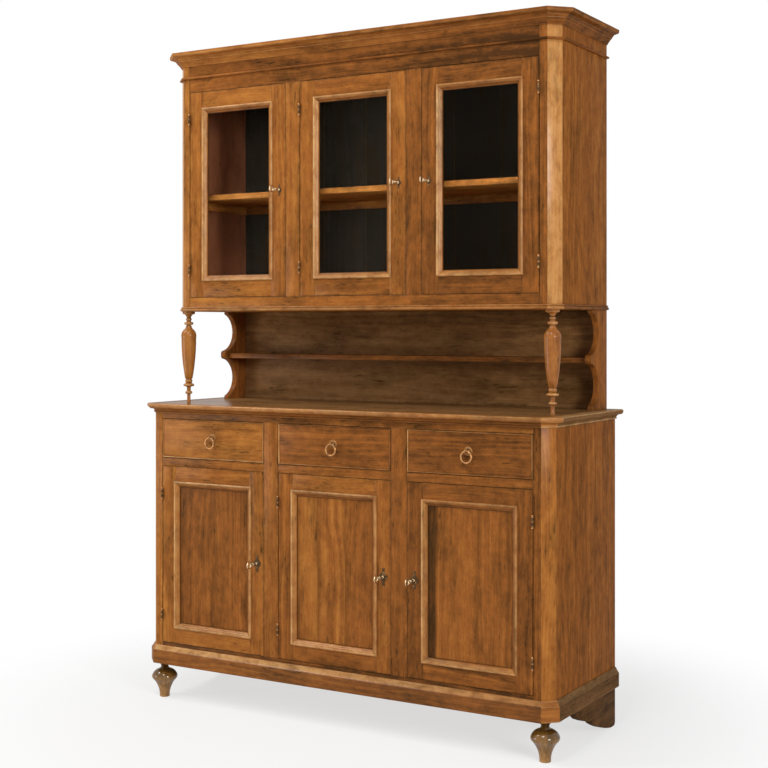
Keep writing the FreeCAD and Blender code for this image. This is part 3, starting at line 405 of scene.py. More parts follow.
def ebonised():
    """Back boards of the hutch, stained nearly black: dull, with little figure."""
    f = finishes()
    return wood("Ebonised_boards", f.inside_dark, f.inside_dark, f.inside_light, 0.6, 0.0, 0.0, 0.7)


def stained_inside():
    """Inner faces of the hutch's sides: the same cherry under a dark red-brown stain."""
    f = finishes()
    return wood("Stained_inside", f.inside_dark, f.inside_red, f.inside_red, 0.5, 0.04, 0.0, 0.8)


def niche_cherry():
    """Back of the niche: dark waxed cherry, dull, never varnished."""
    f = finishes()
    return wood("Waxed_niche_back", f.worktop_dark, f.worktop_middle, f.worktop_light, 0.5, 0.03,
                joinery().glued_width)


def olive_cherry():
    """Low and outer parts: olive-brown cherry under dull old wax."""
    f = finishes()
    return wood("Olive_cherry", f.worktop_dark, f.worktop_middle, f.worktop_light, 0.45, 0.06, 0.0, 0.6)


def spruce():
    """Bare planed spruce of hidden boards: pale, dry, with narrow late wood."""
    f = finishes()
    return wood("Bare_spruce", f.raw_dark, f.raw_light, f.raw_light, 0.68, 0.0, 0.0, 0.55)


def brass():
    """Cast brass, rubbed bright on its high spots."""
    f = finishes()
    return metal("Aged_brass", f.brass, f.bronze, 0.42, 0.2, 160.0)


def pale_brass():
    """Brass of the keys, kept bright by handling."""
    f = finishes()
    return metal("Handled_brass", f.pale_brass, f.bronze, 0.28, 0.12, 160.0)


def lacquered_brass():
    """Pressed brass under brown lacquer."""
    f = finishes()
    return metal("Lacquered_brass", f.rosette, f.bronze, 0.55, 0.25, 160.0)


def bronze():
    """Brass plate left to go dark."""
    f = finishes()
    return metal("Dark_bronzed_plate", f.rosette, f.bronze, 0.5, 0.45, 120.0)


def steel():
    """Filed steel with a little rust in the hollows."""
    f = finishes()
    return metal("Filed_steel", f.steel, f.bronze, 0.36, 0.2, 200.0)


def window_glass():
    """Thin clear window glass: smooth, colourless, uneven in waves of 170 mm; shadows let light in.

    Real glass has an index of 1.5. Here it is 1.0, so that the pale surround doesn't veil the inside.
    """
    material, tree = finish("Clear_window_glass")
    if tree is None:
        return material
    place = add(tree, "ShaderNodeTexCoord", {}, {}, "Object")
    wave = add(tree, NOISE, {}, {"Vector": place, "Scale": 6.0, "Detail": 1.0})
    normal = add(tree, "ShaderNodeBump", {}, {"Strength": 0.15, "Distance": 0.001, "Height": wave})
    pane = add(tree, PRINCIPLED, {}, {"Base Color": (0.93, 0.96, 0.95, 1.0), "Roughness": 0.0, "IOR": 1.0,
                                      "Transmission Weight": 1.0, "Normal": normal})
    clear = add(tree, "ShaderNodeBsdfTransparent", {}, {"Color": (0.93, 0.95, 0.94, 1.0)})
    shadow = add(tree, "ShaderNodeLightPath", {}, {}, "Is Shadow Ray")
    add(tree, OUTPUT, {}, {"Surface": add(tree, MIX_SHADER, {}, (shadow, pane, clear))})
    return material


# ---------------------------------------------------------------- boards
def empty_mesh():
    """A mesh with the attributes that the wood reads."""
    bm = bmesh.new()
    for name in VECTORS:
        bm.verts.layers.float_vector.new(name)
    bm.verts.layers.float.new("tone")
    bm.verts.layers.float.new("dirt_and_painted_shade")
    # per face: real rubbing and old wax, with painted highlights above 0 and painted shade below 0
    bm.faces.layers.float.new("wear_dirt_and_painted_light")
    return bm


def join(target, part):
    """Moves a part into the target mesh."""
    mesh = bpy.data.meshes.new("part")
    part.to_mesh(mesh)
    target.from_mesh(mesh)
    bpy.data.meshes.remove(mesh)
    part.free()


def solids_of(node):
    """Each closed solid of a CAD node, as its own mesh with merged corners and flat faces made whole."""
    mesh = frame["nodes"][node].data
    found = []
    bm, corners, open_edges = empty_mesh(), {}, set()
    for polygon in mesh.polygons:
        places = [mesh.vertices[i].co for i in polygon.vertices]
        keys = [tuple(round(c * 1e5) for c in co) for co in places]
        for key, co in zip(keys, places):
            if key not in corners:
                corners[key] = bm.verts.new(co)
        for a, b in zip(keys, keys[1:] + keys[:1]):
            open_edges ^= {frozenset((a, b))}
        if len(set(keys)) == 3:
            face = [corners[key] for key in keys]
            if not bm.faces.get(face):
                bm.faces.new(face)
        if not open_edges:
            bmesh.ops.dissolve_limit(bm, angle_limit=math.radians(0.6), verts=bm.verts, edges=bm.edges)
            bm.normal_update()
            found.append(bm)
            bm, corners = empty_mesh(), {}
    bm.free()
    return found


def block(x0, x1, y0, y1, z0, z1):
    """A plain block between these limits."""
    bm = empty_mesh()
    size = Matrix.Diagonal((x1 - x0, y1 - y0, z1 - z0, 1.0))
    middle = Matrix.Translation(((x0 + x1) / 2, (y0 + y1) / 2, (z0 + z1) / 2))
    bmesh.ops.create_cube(bm, size=1.0, matrix=middle @ size)
    return bm


def prism(first, last):
    """A solid between two outlines with as many points each, and its side faces in their order."""
    bm = empty_mesh()
    first, last = ([bm.verts.new(place) for place in outline] for outline in (first, last))
    sides = [bm.faces.new(corners)
             for corners in zip(first, first[1:] + first[:1], last[1:] + last[:1], last)]
    bm.faces.new(first)
    bm.faces.new(last)
    bmesh.ops.recalc_face_normals(bm, faces=bm.faces)
    return bm, sides


def give(bm, number):
    """Gives all the faces the finish of that number in the piece's list."""
    for face in bm.faces:
        face.material_index = number
    return bm


def box_of(bm):
    """The low and high corners of a mesh's box."""
    low = Vector([min(v.co[i] for v in bm.verts) for i in range(3)])
    high = Vector([max(v.co[i] for v in bm.verts) for i in range(3)])
    return low, high


def rub_edges(bm, width, shortest=0.012):
    """Rounds the long sharp edges of a board, as sanding and use leave them."""
    wear_dirt_and_painted_light = bm.faces.layers.float["wear_dirt_and_painted_light"]
    sharp = [e for e in bm.edges if len(e.link_faces) == 2 and e.calc_length() > shortest
             and e.calc_face_angle(0.0) > math.radians(40)]
    made = bmesh.ops.bevel(bm, geom=sharp, offset=width, segments=2, profile=0.6, affect="EDGES",
                           clamp_overlap=False)
    for face in made["faces"]:
        # painted highlight: the rounded edges are lighter, partly as real rubbing
        face[wear_dirt_and_painted_light] = 0.18


def lay_grain(bm, chance, along=None, tone=None, edges=True, tone_slope=PAINTED_LIGHT_SLOPE):
    """Writes where each point lies in the board it was cut from, the board's size, and how pale it is."""
    low, high = box_of(bm)
    size = high - low
    order = sorted(range(3), key=lambda i: -size[i])
    axes = [Vector([1.0 if i == j else 0.0 for i in range(3)]) for j in order]
    if along is not None:
        axes[0] = Vector(along).normalized()
        rest = [Vector((1, 0, 0)), Vector((0, 1, 0)), Vector((0, 0, 1))]
        rest.sort(key=lambda a: abs(a.dot(axes[0])))
        axes[1] = (rest[0] - axes[0] * rest[0].dot(axes[0])).normalized()
        axes[2] = axes[0].cross(axes[1])
    start = Vector((chance.uniform(0, 20), chance.uniform(-0.25, 0.25), chance.uniform(0.03, 0.2)))
    pale = chance.uniform(-1, 1) if tone is None else tone
    grain, centred, half = (bm.verts.layers.float_vector[name] for name in VECTORS)
    tones = bm.verts.layers.float["tone"]
    middle = (low + high) / 2
    reach = Vector([size.dot(Vector([abs(c) for c in axis])) / 2 for axis in axes]) if edges else Vector()
    for vert in bm.verts:
        vert[grain] = Vector([(vert.co - low).dot(axis) for axis in axes]) + start
        vert[centred] = Vector([(vert.co - middle).dot(axis) for axis in axes])
        vert[half] = reach
        # the tone slopes across the piece; on most pieces this is painted light, lighter where more light
        # falls
        vert[tones] = pale + tone_slope.dot(vert.co)


def stand_for(name, bm, body, node, materials, smooth_angle=35):
    """Makes the finished piece, which rides on its body in place of its CAD node."""
    mesh = bpy.data.meshes.new(name)
    bm.to_mesh(mesh)
    bm.free()
    piece = bpy.data.objects.new(name, mesh)
    bpy.context.collection.objects.link(piece)
    for material in materials:
        mesh.materials.append(material)
    mesh.set_sharp_from_angle(angle=math.radians(smooth_angle))
    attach(piece, body)
    if node:
        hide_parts(node)
    return piece


# ---------------------------------------------------------------- outlines, mouldings and turnings
def fine_outline(outline, steps=7):
    """An outline's points; an arc is given as a pair (through, end)."""
    points = [Vector(outline[0])]
    for step in outline[1:]:
        if not isinstance(step[0], tuple):
            points.append(Vector(step))
            continue
        a, b, c = points[-1], Vector(step[0]), Vector(step[1])
        ab, ac = b - a, c - a
        cross = 2 * (ab.x * ac.y - ab.y * ac.x)
        centre = a + Vector((ac.y * ab.length_squared - ab.y * ac.length_squared,
                             ab.x * ac.length_squared - ac.x * ab.length_squared)) / cross
        first = math.atan2(*(a - centre).yx)
        turn = (math.atan2(*(c - centre).yx) - first) % math.tau
        if cross < 0:
            turn -= math.tau
        radius = (a - centre).length
        for i in range(1, steps + 1):
            angle = first + turn * i / steps
            points.append(centre + Vector((math.cos(angle), math.sin(angle))) * radius)
    return points


def crest_and_quirk_of(points):
    """For each run of a closed outline: up to 1 on narrow crests, -1 in a narrow quirk."""
    # on crests the value is partly real rubbing, partly a painted highlight; in quirks it is painted shade
    # with old wax
    count = len(points)
    turns = []
    for i in range(count):
        a, b = points[i] - points[i - 1], points[(i + 1) % count] - points[i]
        turns.append(math.atan2(a.x * b.y - a.y * b.x, a.dot(b)))
    area = sum(p.x * q.y - q.x * p.y for p, q in zip(points, points[1:] + points[:1]))
    side = 1 if area > 0 else -1
    values = []
    for i in range(count):
        run = (points[(i + 1) % count] - points[i]).length
        first, last = side * turns[i], side * turns[(i + 1) % count]
        if run > 3.5:
            values.append(0.0)
        elif min(first, last) < -0.5:
            values.append(-0.9)
        else:
            values.append(max(0.0, min(1.0, (first + last) / 0.9)))
    return values


def normals_of(path, closed):
    """For each run of a path that goes round something, the direction away from it."""
    count = len(path) if closed else len(path) - 1
    runs = [(Vector(path[(i + 1) % len(path)]) - Vector(path[i])).normalized() for i in range(count)]
    return [Vector((run.y, -run.x)) for run in runs]


def stretched(outline, across, upwards):
    """The outline with its two measures multiplied; an arc stays a pair of points."""
    return [tuple((a * across, b * upwards) for a, b in step) if isinstance(step[0], tuple)
            else (step[0] * across, step[1] * upwards) for step in outline]


def mitred_runs(profile, path, place, chance, closed=False, steps=7, tones=None, crest_rub_and_sheen=1.0,
                polish=None, tone_slope=PAINTED_LIGHT_SLOPE, finish_index=0):
    """One mitred length of moulding for each run of a path; place puts (x, y, profile height) in space.

    polish(run, point) says how much lighter (over 0: rubbing and painted highlight) or darker
    (under 0: painted shade and dirty wax) the profile is at that point.
    The finish is one number, or a tuple with a number for each run.
    """
    outline = fine_outline(profile, steps)
    crest_and_quirk = [value * crest_rub_and_sheen if value > 0 else value for value in crest_and_quirk_of(outline)]
    middles = [(a + b) / 2 for a, b in zip(outline, outline[1:] + outline[:1])]
    normals = normals_of(path, closed)
    mitres = []
    for i in range(len(path)):
        a = normals[i - 1] if closed or i else normals[0]
        b = normals[i % len(normals)] if closed or i < len(normals) else normals[-1]
        mitres.append((a + b) / (1 + a.dot(b)))
    whole = empty_mesh()
    for i in range(len(normals)):
        ends = []
        for corner in (i, (i + 1) % len(path)):
            places = [Vector(path[corner]) + mitres[corner] * (point.x * MM) for point in outline]
            ends.append([place(at.x, at.y, point.y * MM) for at, point in zip(places, outline)])
        bm, sides = prism(*ends)
        wear_dirt_and_painted_light = bm.faces.layers.float["wear_dirt_and_painted_light"]
        for face, crest, middle in zip(sides, crest_and_quirk, middles):
            more = polish(i, middle) if polish else 0.0
            face[wear_dirt_and_painted_light] = min(crest, more) if more < 0 else max(crest, more)
            face.smooth = True
        lay_grain(bm, chance, ends[1][0] - ends[0][0], tones[i] if tones else None, edges=False, tone_slope=tone_slope)
        join(whole, give(bm, finish_index[i] if isinstance(finish_index, tuple) else finish_index))
    return whole


def in_plan(level):
    """For mouldings round the carcass at some level: the profile is (outwards, upwards)."""
    return lambda x, y, up: Vector((x, y, level + up))


def on_face(front):
    """For mouldings round a rectangle on a front face: the profile is (outwards, forwards)."""
    return lambda x, z, forward: Vector((x, front - forward, z))


def corner_path(half, front, back, cant):
    """The path in plan from the left rear round both canted corners to the right rear."""
    return [(-half, back), (-half, front + cant), (-half + cant, front),
            (half - cant, front), (half, front + cant), (half, back)]


def named_tree(name, inputs):
    """A new geometry nodes tree with inputs of these names and kinds, and the sockets that bring them."""
    tree = bpy.data.node_groups.new(name, "GeometryNodeTree")
    for label, kind in inputs.items():
        tree.interface.new_socket(label, in_out="INPUT", socket_type="NodeSocket" + kind)
    tree.interface.new_socket("Piece", in_out="OUTPUT", socket_type="NodeSocketGeometry")
    return tree, tree.nodes.new("NodeGroupInput").outputs


def end_in_finish(tree, geometry, given):
    """Ends a tree in plain geometry that has its finish."""
    whole = add(tree, "GeometryNodeRealizeInstances", {}, {"Geometry": geometry})
    done = add(tree, "GeometryNodeSetMaterial", {}, {"Geometry": whole, "Material": given["Finish"]})
    add(tree, "NodeGroupOutput", {}, {"Piece": done})
    return tree


def turning_tree():
    """Geometry nodes: turns an outline (radius in X, height in Z) round its axis."""
    if "Turned_outline" in bpy.data.node_groups:
        return bpy.data.node_groups["Turned_outline"]
    tree, given = named_tree("Turned_outline", {"Outline": "Geometry", "Steps round": "Int",
                                                "Finish": "Material"})
    place = add(tree, "GeometryNodeInputPosition", {}, {})
    radius, height = (add(tree, SPLIT, {}, (place,), axis) for axis in "XZ")
    out = add(tree, MATH, "SUBTRACT", (radius, 1.0))
    down = add(tree, MATH, "MULTIPLY", (height, -1.0))
    section = add(tree, "ShaderNodeCombineXYZ", {}, (out, down))
    drawn = add(tree, "GeometryNodeSetPosition", {}, {"Geometry": given["Outline"], "Position": section})
    profile = add(tree, "GeometryNodeMeshToCurve", {}, {"Mesh": drawn})
    circle = add(tree, CIRCLE, {}, {"Resolution": given["Steps round"], "Radius": 1.0})
    upright = add(tree, "GeometryNodeSetCurveNormal", {"mode": "Z_UP"}, {"Curve": circle})
    swept = add(tree, "GeometryNodeCurveToMesh", {}, {"Curve": upright, "Profile Curve": profile})
    closed = add(tree, "GeometryNodeMergeByDistance", {}, {"Geometry": swept, "Distance": 0.000004})
    return end_in_finish(tree, closed, given)


def ring_tree():
    """Geometry nodes: a ring of round wire in the X-Z plane."""
    if "Wire_ring" in bpy.data.node_groups:
        return bpy.data.node_groups["Wire_ring"]
    tree, given = named_tree("Wire_ring", {"Start": "Geometry", "Ring radius": "Float",
                                           "Wire radius": "Float", "Finish": "Material"})
    circle = add(tree, CIRCLE, {}, {"Resolution": 56, "Radius": given["Ring radius"]})
    upright = add(tree, "GeometryNodeSetCurveNormal", {"mode": "Z_UP"}, {"Curve": circle})
    wire = add(tree, CIRCLE, {}, {"Resolution": 20, "Radius": given["Wire radius"]})
    swept = add(tree, "GeometryNodeCurveToMesh", {}, {"Curve": upright, "Profile Curve": wire})
    stood = add(tree, "GeometryNodeTransform", {}, {"Geometry": swept, "Rotation": (math.pi / 2, 0.0, 0.0)})
    return end_in_finish(tree, stood, given)


def heads_tree():
    """Geometry nodes: a domed head at each given point, its size a little by chance, facing outwards."""
    if "Pin_heads" in bpy.data.node_groups:
        return bpy.data.node_groups["Pin_heads"]
    tree, given = named_tree("Pin_heads", {"Places": "Geometry", "Head radius": "Float",
                                           "Head height": "Float", "Outwards": "Vector", "Seed": "Int",
                                           "Finish": "Material"})
    ball = add(tree, "GeometryNodeMeshUVSphere", {}, {"Segments": 10, "Rings": 6, "Radius": 1.0})
    size = add(tree, "ShaderNodeCombineXYZ", {}, (given["Head radius"], given["Head radius"],
                                                  given["Head height"]))
    dome = add(tree, "GeometryNodeTransform", {}, {"Geometry": ball, "Scale": size})
    facing = add(tree, "FunctionNodeAlignRotationToVector", {"axis": "Z"}, {"Vector": given["Outwards"]})
    share = add(tree, "FunctionNodeRandomValue", {"data_type": "FLOAT"},
                {2: 0.85, 3: 1.1, "Seed": given["Seed"]}, 1)
    heads = add(tree, "GeometryNodeInstanceOnPoints", {},
                {"Points": given["Places"], "Instance": dome, "Rotation": facing, "Scale": share})
    return end_in_finish(tree, heads, given)


def run_tree(tree, points, edges, values):
    """The plain mesh that a geometry nodes tree makes of some points, in a bmesh."""
    mesh = bpy.data.meshes.new("start")
    mesh.from_pydata(points, edges, [])
    start = bpy.data.objects.new("start", mesh)
    bpy.context.collection.objects.link(start)
    modifier = start.modifiers.new("nodes", "NODES")
    modifier.node_group = tree
    for item in tree.interface.items_tree:
        if item.item_type == "SOCKET" and item.in_out == "INPUT" and item.name in values:
            modifier[item.identifier] = values[item.name]
    graph = bpy.context.evaluated_depsgraph_get()
    made = bpy.data.meshes.new_from_object(start.evaluated_get(graph))
    bm = empty_mesh()
    bm.from_mesh(made)
    bpy.data.objects.remove(start)
    bpy.data.meshes.remove(mesh)
    bpy.data.meshes.remove(made)
    for face in give(bm, 0).faces:
        face.smooth = True
    return bm


def turned(outline, finish_of_it, steps=48, fineness=7, crest_rub_and_sheen=1.0):
    """A turned piece standing on the origin, from its (radius, height) outline in millimetres."""
    points = fine_outline(outline, fineness)
    places = [(max(0.0, p.x) * MM, 0.0, p.y * MM) for p in points]
    edges = [(i, i + 1) for i in range(len(places) - 1)]
    bm = run_tree(turning_tree(), places, edges, {"Steps round": steps, "Finish": finish_of_it})
    bmesh.ops.remove_doubles(bm, verts=bm.verts, dist=1e-6)
    bmesh.ops.recalc_face_normals(bm, faces=bm.faces)
    wear_dirt_and_painted_light = bm.faces.layers.float["wear_dirt_and_painted_light"]
    crest_and_quirk = crest_and_quirk_of(points)
    tops = [(points[i].y + points[i + 1].y) / 2 * MM for i in range(len(points) - 1)]
    reach = [(points[i].x + points[i + 1].x) / 2 * MM for i in range(len(points) - 1)]
    for face in bm.faces:
        centre = face.calc_center_median()
        r = math.hypot(centre.x, centre.y)
        nearest = min(range(len(tops)), key=lambda i: abs(tops[i] - centre.z) + abs(reach[i] - r))
        # painted highlight on the crests and painted shade in the quirks of the turning
        face[wear_dirt_and_painted_light] = crest_and_quirk[nearest] * (crest_rub_and_sheen if crest_and_quirk[nearest] > 0 else 1.0)
    return bm


def ring(radius, wire, material):
    bm = run_tree(ring_tree(), [(0, 0, 0)], [], {"Ring radius": radius, "Wire radius": wire,
                                                 "Finish": material})
    bmesh.ops.recalc_face_normals(bm, faces=bm.faces)
    return bm


def heads(places, radius, height, outwards, material, seed=3):
    return run_tree(heads_tree(), places, [], {"Head radius": radius, "Head height": height, "Seed": seed,
                                               "Outwards": outwards, "Finish": material})


def put(bm, x, y, z):
    """Moves a part, and gives it back."""
    bmesh.ops.translate(bm, verts=bm.verts, vec=(x, y, z))
    return bm


def turn(bm, degrees, axis):
    """Turns a part about an axis through the origin, and gives it back."""
    around = Matrix.Rotation(math.radians(degrees), 3, axis)
    bmesh.ops.rotate(bm, verts=bm.verts, cent=(0, 0, 0), matrix=around)
    return bm


def mirrored(bm):
    """The same part mirrored from right to left, its faces still outwards."""
    for vert in bm.verts:
        vert.co.x *= -1
    bmesh.ops.reverse_faces(bm, faces=bm.faces)
    return bm


def flat_board(outline, place, thickness, chance, along, tone):
    """A board with a shaped outline in millimetres; place maps (a, b, through) to a point in metres."""
    points = fine_outline(outline, 12)
    bm, _ = prism(*([place(p.x * MM, p.y * MM, through) for p in points] for through in (0.0, thickness)))
    rub_edges(bm, joinery().edge_round, 0.0)
    lay_grain(bm, chance, along, tone)
    return bm


def both_sides(shapes, thickness, chance):
    """Shaped boards for the left and the right; a shape is an outline, its place, its grain and tone."""
    boards = []
    for left in (True, False):
        for outline, place, along, tone in shapes:
            board = flat_board(outline, place, thickness, chance, along, tone)
            boards.append(mirrored(board) if left else board)
    return boards


def turned_pair(name, node, outline, radius, material, steps, chance, tone, tone_slope, smooth_angle=35):
    """Two equal upright turnings, one at each end of their node."""
    low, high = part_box(node)
    whole = empty_mesh()
    for x in (low.x + radius * MM, high.x - radius * MM):
        piece = put(turned(outline, material, steps, crest_rub_and_sheen=0.5), x, low.y + radius * MM, low.z)
        lay_grain(piece, chance, UPWARDS, tone, edges=False, tone_slope=Vector(tone_slope))
        join(whole, piece)
    stand_for(name, whole, ROOT, node, [material], smooth_angle)


def boards_for(node, body, materials, chance, choose=None, skip=(), extra=(),
               tones=None, plain=(), tone_slope=PAINTED_LIGHT_SLOPE, painted_sheen=None):
    """The boards of a CAD node with rubbed edges, each with its own grain.

    Some numbers are skipped or are plain, with no dark edges; extra boards are joined to them;
    choose(number, face) says which finish a face has, and painted_sheen the painted highlight of a board by
    number.
    """
    whole = empty_mesh()
    for number, bm in enumerate(solids_of(node)):
        if number in skip:
            bm.free()
            continue
        rub_edges(bm, joinery().edge_round)
        tone = tones(number, *box_of(bm)) if tones else None
        lay_grain(bm, chance, tone=tone, edges=number not in plain, tone_slope=tone_slope)
        for face in bm.faces:
            face.material_index = choose(number, face) if choose else 0
            if painted_sheen and number in painted_sheen:
                face[bm.faces.layers.float["wear_dirt_and_painted_light"]] = painted_sheen[number]
        join(whole, bm)
    for bm in extra:
        join(whole, bm)
    return stand_for(node + "_boards", whole, body, node, materials)


def body_of_node(node):
    """The name of the body that a CAD node rides on."""
    parent = frame["nodes"][node].parent
    return next(name for name, body in frame["bodies"].items() if body is parent)


ROOT = body_of_node("worktop")


def frame_tone(number, low, high):
    """The frieze is darker, a painted shadow of the cornice; the lowest rail and the right half are darker
    too.
    """
    middle, outermost = (low.x + high.x) / 2, 0.6
    long_rail, in_hutch = high.x - low.x > 0.5, low.z > 1
    if long_rail and high.z > TOP - 0.01:
        return -1.9
    if long_rail and high.z < 0.25:
        return -2.6
    if in_hutch and abs(middle) > outermost:
        return 1.4 if middle > 0 else -0.6
    if middle > 0.1:
        return -0.5
    return 1.0 if middle < -outermost else 0.2


# ---------------------------------------------------------------- pieces and their operators
class DRESSER_OT_base(bpy.types.Operator):
    """Base cupboard: side panels, cants, face frame, partitions, shelves, runners, floor and back boards"""
    bl_idname = "dresser.base"
    bl_label = "Base cupboard"

    def execute(self, context):
        chance = random.Random(11)
        # painted light: the cants get a lighter tone, as lit by the lamp at the right
        boards_for("base_side_panels", ROOT, [cherry(True), cherry()], chance, plain=(2, 3),
                   choose=lambda i, face: int(i > 1), tones=lambda i, low, high: 2.0 if i > 1 else 0.2)
        boards_for("base_face_frame", ROOT, [cherry()], chance, tones=frame_tone)
        for node in ("base_partitions_and_shelves", "drawer_runners", "base_floor", "base_back_boards"):
            boards_for(node, ROOT, [spruce()], chance)
        return {"FINISHED"}


def plinth(chance):
    """Plinth moulding: a flat face under a cove, with a painted highlight on the front cove and the face
    darker.
    """
    low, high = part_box("plinth_moulding")
    height, depth, cove = (high.z - low.z) / MM, (high.x - BASE_HALF) / MM, 15.0
    profile = [(0, 0), (depth - 4, 0), ((depth - 1.2, 1.2), (depth, 4)), (depth, height - cove - 2),
               (depth - 2, height - cove), ((depth * 0.52, height - cove * 0.55), (3, height - 2)),
               (3, height), (0, height)]
    path = corner_path(BASE_HALF, BASE_FRONT, BACK, joinery().cant)
    cove_sheen, darkened_face = (0, 0, 0.85, 0.1, 0.6), (0, -0.3, -0.2, 0, 0)

    def polish(run, point):
        return (cove_sheen if point.x > 1 and point.y > height - cove else darkened_face)[run]

    # the tone falls to the right, so that the painted highlight on the cove is strongest at the left end
    whole = mitred_runs(profile, path, in_plan(low.z), chance, tones=(-1.5, 0, -0.3, 1.4, -0.6),
                        polish=polish, tone_slope=Vector((-1.3, 0, 0)), finish_index=(0, 1, 1, 1, 2))
    stand_for("plinth", whole, ROOT, "plinth_moulding",
              [cherry(True), turned_cherry(), olive_cherry()])


def front_feet(chance):
    """Two turned feet: a bun on a thin ankle, under a coved neck and collar."""
    top, bun, collar, neck, ankle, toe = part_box("front_feet")[1].z / MM, 43.0, 28.0, 12.0, 23.5, 15.0
    outline = [(0, 0), (toe, 0), ((toe + 1.6, 0.01 * top), (toe + 2, 0.03 * top)),
               ((toe + 4, 0.19 * top), (ankle, 0.3 * top)),
               ((0.73 * bun, 0.42 * top), (bun - 3.5, 0.5 * top)),
               ((bun - 0.5, 0.54 * top), (bun, 0.6 * top)),
               ((0.86 * bun, 0.69 * top), (neck + 4, 0.79 * top)), (neck, 0.85 * top),
               ((neck + 4, 0.92 * top), (collar, top - 2)), (collar, top), (0, top)]
    # painted reflection of the pale floor: the feet grow lighter towards the bottom
    turned_pair("turned_front_feet", "front_feet", outline, bun, foot_cherry(), 56, chance, 3.0, (0, 0, -45))


def rear_feet(chance):
    """Bracket feet at the back: a scalloped side board and a board with one lobe across the back."""
    low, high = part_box("rear_bracket_feet")
    back, top, thick, wing_back = (high.y - low.y) / MM, high.z / MM, 22.0, 95.0
    pad, wing, step = back - 35.0, 0.17 * back, 0.41 * back
    side = [(back, top), (0, top), (4, 0.95 * top), ((0.5 * wing, 0.76 * top), (wing, 0.66 * top)),
            ((0.5 * (wing + step), 0.55 * top), (step, 0.49 * top)), (step + 6, 0.41 * top),
            ((0.5 * (step + pad), 0.16 * top), (pad, 0)), (back - 12, 0), ((back - 3.5, 3.5), (back, 12))]
    across = [(0, 0), (0, top), (-wing_back, top), ((-0.7 * wing_back, 0.62 * top), (-0.58 * wing_back, 0))]
    inner = high.x - thick * MM
    # painted shade: the bracket feet are given darker tones
    shapes = ((side, lambda a, b, through: Vector((high.x - through, low.y + a, b)), (0, 1, 0), -1.9),
              (across, lambda a, b, through: Vector((inner + a, high.y - through, b)), (1, 0, 0), -2.0))
    boards_for("rear_bracket_feet", ROOT, [olive_cherry()], chance, skip=(0, 1, 2, 3),
               extra=both_sides(shapes, thick * MM, chance))


class DRESSER_OT_feet(bpy.types.Operator):
    """Plinth moulding, two turned front feet and the scalloped bracket feet at the back"""
    bl_idname = "dresser.feet"
    bl_label = "Plinth and feet"

    def execute(self, context):
        chance = random.Random(12)
        plinth(chance)
        front_feet(chance)
        rear_feet(chance)
        return {"FINISHED"}


class DRESSER_OT_worktop(bpy.types.Operator):
    """Worktop: glued-up slab with a mitred moulded lipping"""
    bl_idname = "dresser.worktop"
    bl_label = "Worktop"

    def execute(self, context):
        chance = random.Random(13)
        low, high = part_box("worktop")
        height, out, nose, bead, lip = (high.z - low.z) / MM, (high.x - BASE_HALF) / MM, 11.0, 6.0, 6.0
        lap, cant = 12.0, joinery().cant
        edge = [(-lap, 0), (lip - 3, 0), ((lip, bead / 2), (lip - 3, bead)), (lip - 2, bead),
                ((lip + 3, bead + 0.42 * (height - nose - bead)), (0.5 * (out + lip), height - nose - 5)),
                ((out - 4, height - nose - 3), (out - 1.5, height - nose)),
                ((out, height - nose / 2), (out - 1.5, height - 2)), (out - 4, height), (-lap, height)]

        # painted highlights on the nose and on the right side's bead and top edge; the lower cove and the
        # side's middle darker
        def polish(run, point):
            if run == 4:
                return 0.45 if point.y < bead or point.y > height - 3 else -0.1
            if run == 3:
                return 0.0
            return -0.3 if point.y < height - nose - 3 else 0.15

        path = corner_path(BASE_HALF, BASE_FRONT, BACK, cant)
        whole = mitred_runs(edge, path, in_plan(low.z), chance, tones=(-2, 0, 0.2, 1.5, 0.8), crest_rub_and_sheen=0.6,
                            polish=polish, finish_index=(0, 0, 0, 0, 2))
        inset = (lap + 0.1) * MM
        mitre = math.tan(math.radians(22.5)) * inset
        side, corner = BASE_HALF - inset, BASE_HALF - cant - mitre
        front, shoulder = BASE_FRONT + inset, BASE_FRONT + cant + mitre
        plan = [(side, BACK), (-side, BACK), (-side, shoulder), (-corner, front), (corner, front),
                (side, shoulder)]
        slab, _ = prism(*([(x, y, level) for x, y in plan] for level in (low.z, high.z)))
        lay_grain(slab, chance, tone=0.8, edges=False)
        join(whole, give(slab, 1))
        stand_for("worktop_slab", whole, ROOT, "worktop",
                  [turned_cherry(), worktop_cherry(), olive_cherry()])
        return {"FINISHED"}


def niche_columns(chance):
    """Two turned columns: a long tapered shaft between balls and coves, under a square-edged cap."""
    low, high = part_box("niche_columns")
    belly, neck, bead, ball, waist, collar, cap = 25.5, 7.0, 12.5, 19.0, 13.0, 16.0, 21.5
    # each height is a share of the column's
    outline = [(0, 0), (neck + 0.5, 0), (neck - 1, 0.012), (neck - 1, 0.088), ((bead, 0.102), (neck, 0.12)),
               (neck, 0.165), (ball - 5, 0.172), ((ball, 0.186), (ball - 5, 0.201)), (neck + 3, 0.21),
               ((bead, 0.232), (neck + 3, 0.252)), (waist, 0.262), ((0.87 * belly, 0.475), (belly, 0.71)),
               ((0.9 * belly, 0.775), (collar - 2, 0.808)), (neck + 4, 0.82), (neck + 4, 0.832),
               (neck + 1.5, 0.84), (neck + 1.5, 0.853), ((collar, 0.866), (neck + 1, 0.883)),
               (neck + 1, 0.903), ((bead - 2, 0.913), (neck + 0.5, 0.926)),
               ((neck + 4, 0.957), (cap - 1.5, 0.972)), (cap, 0.978), (cap, 1), (0, 1)]
    turned_pair("turned_niche_columns", "niche_columns", stretched(outline, 1, (high.z - low.z) / MM), belly,
                polished_cherry(), 48, chance, 4.4, (-0.9, 0, -2.5), 50)


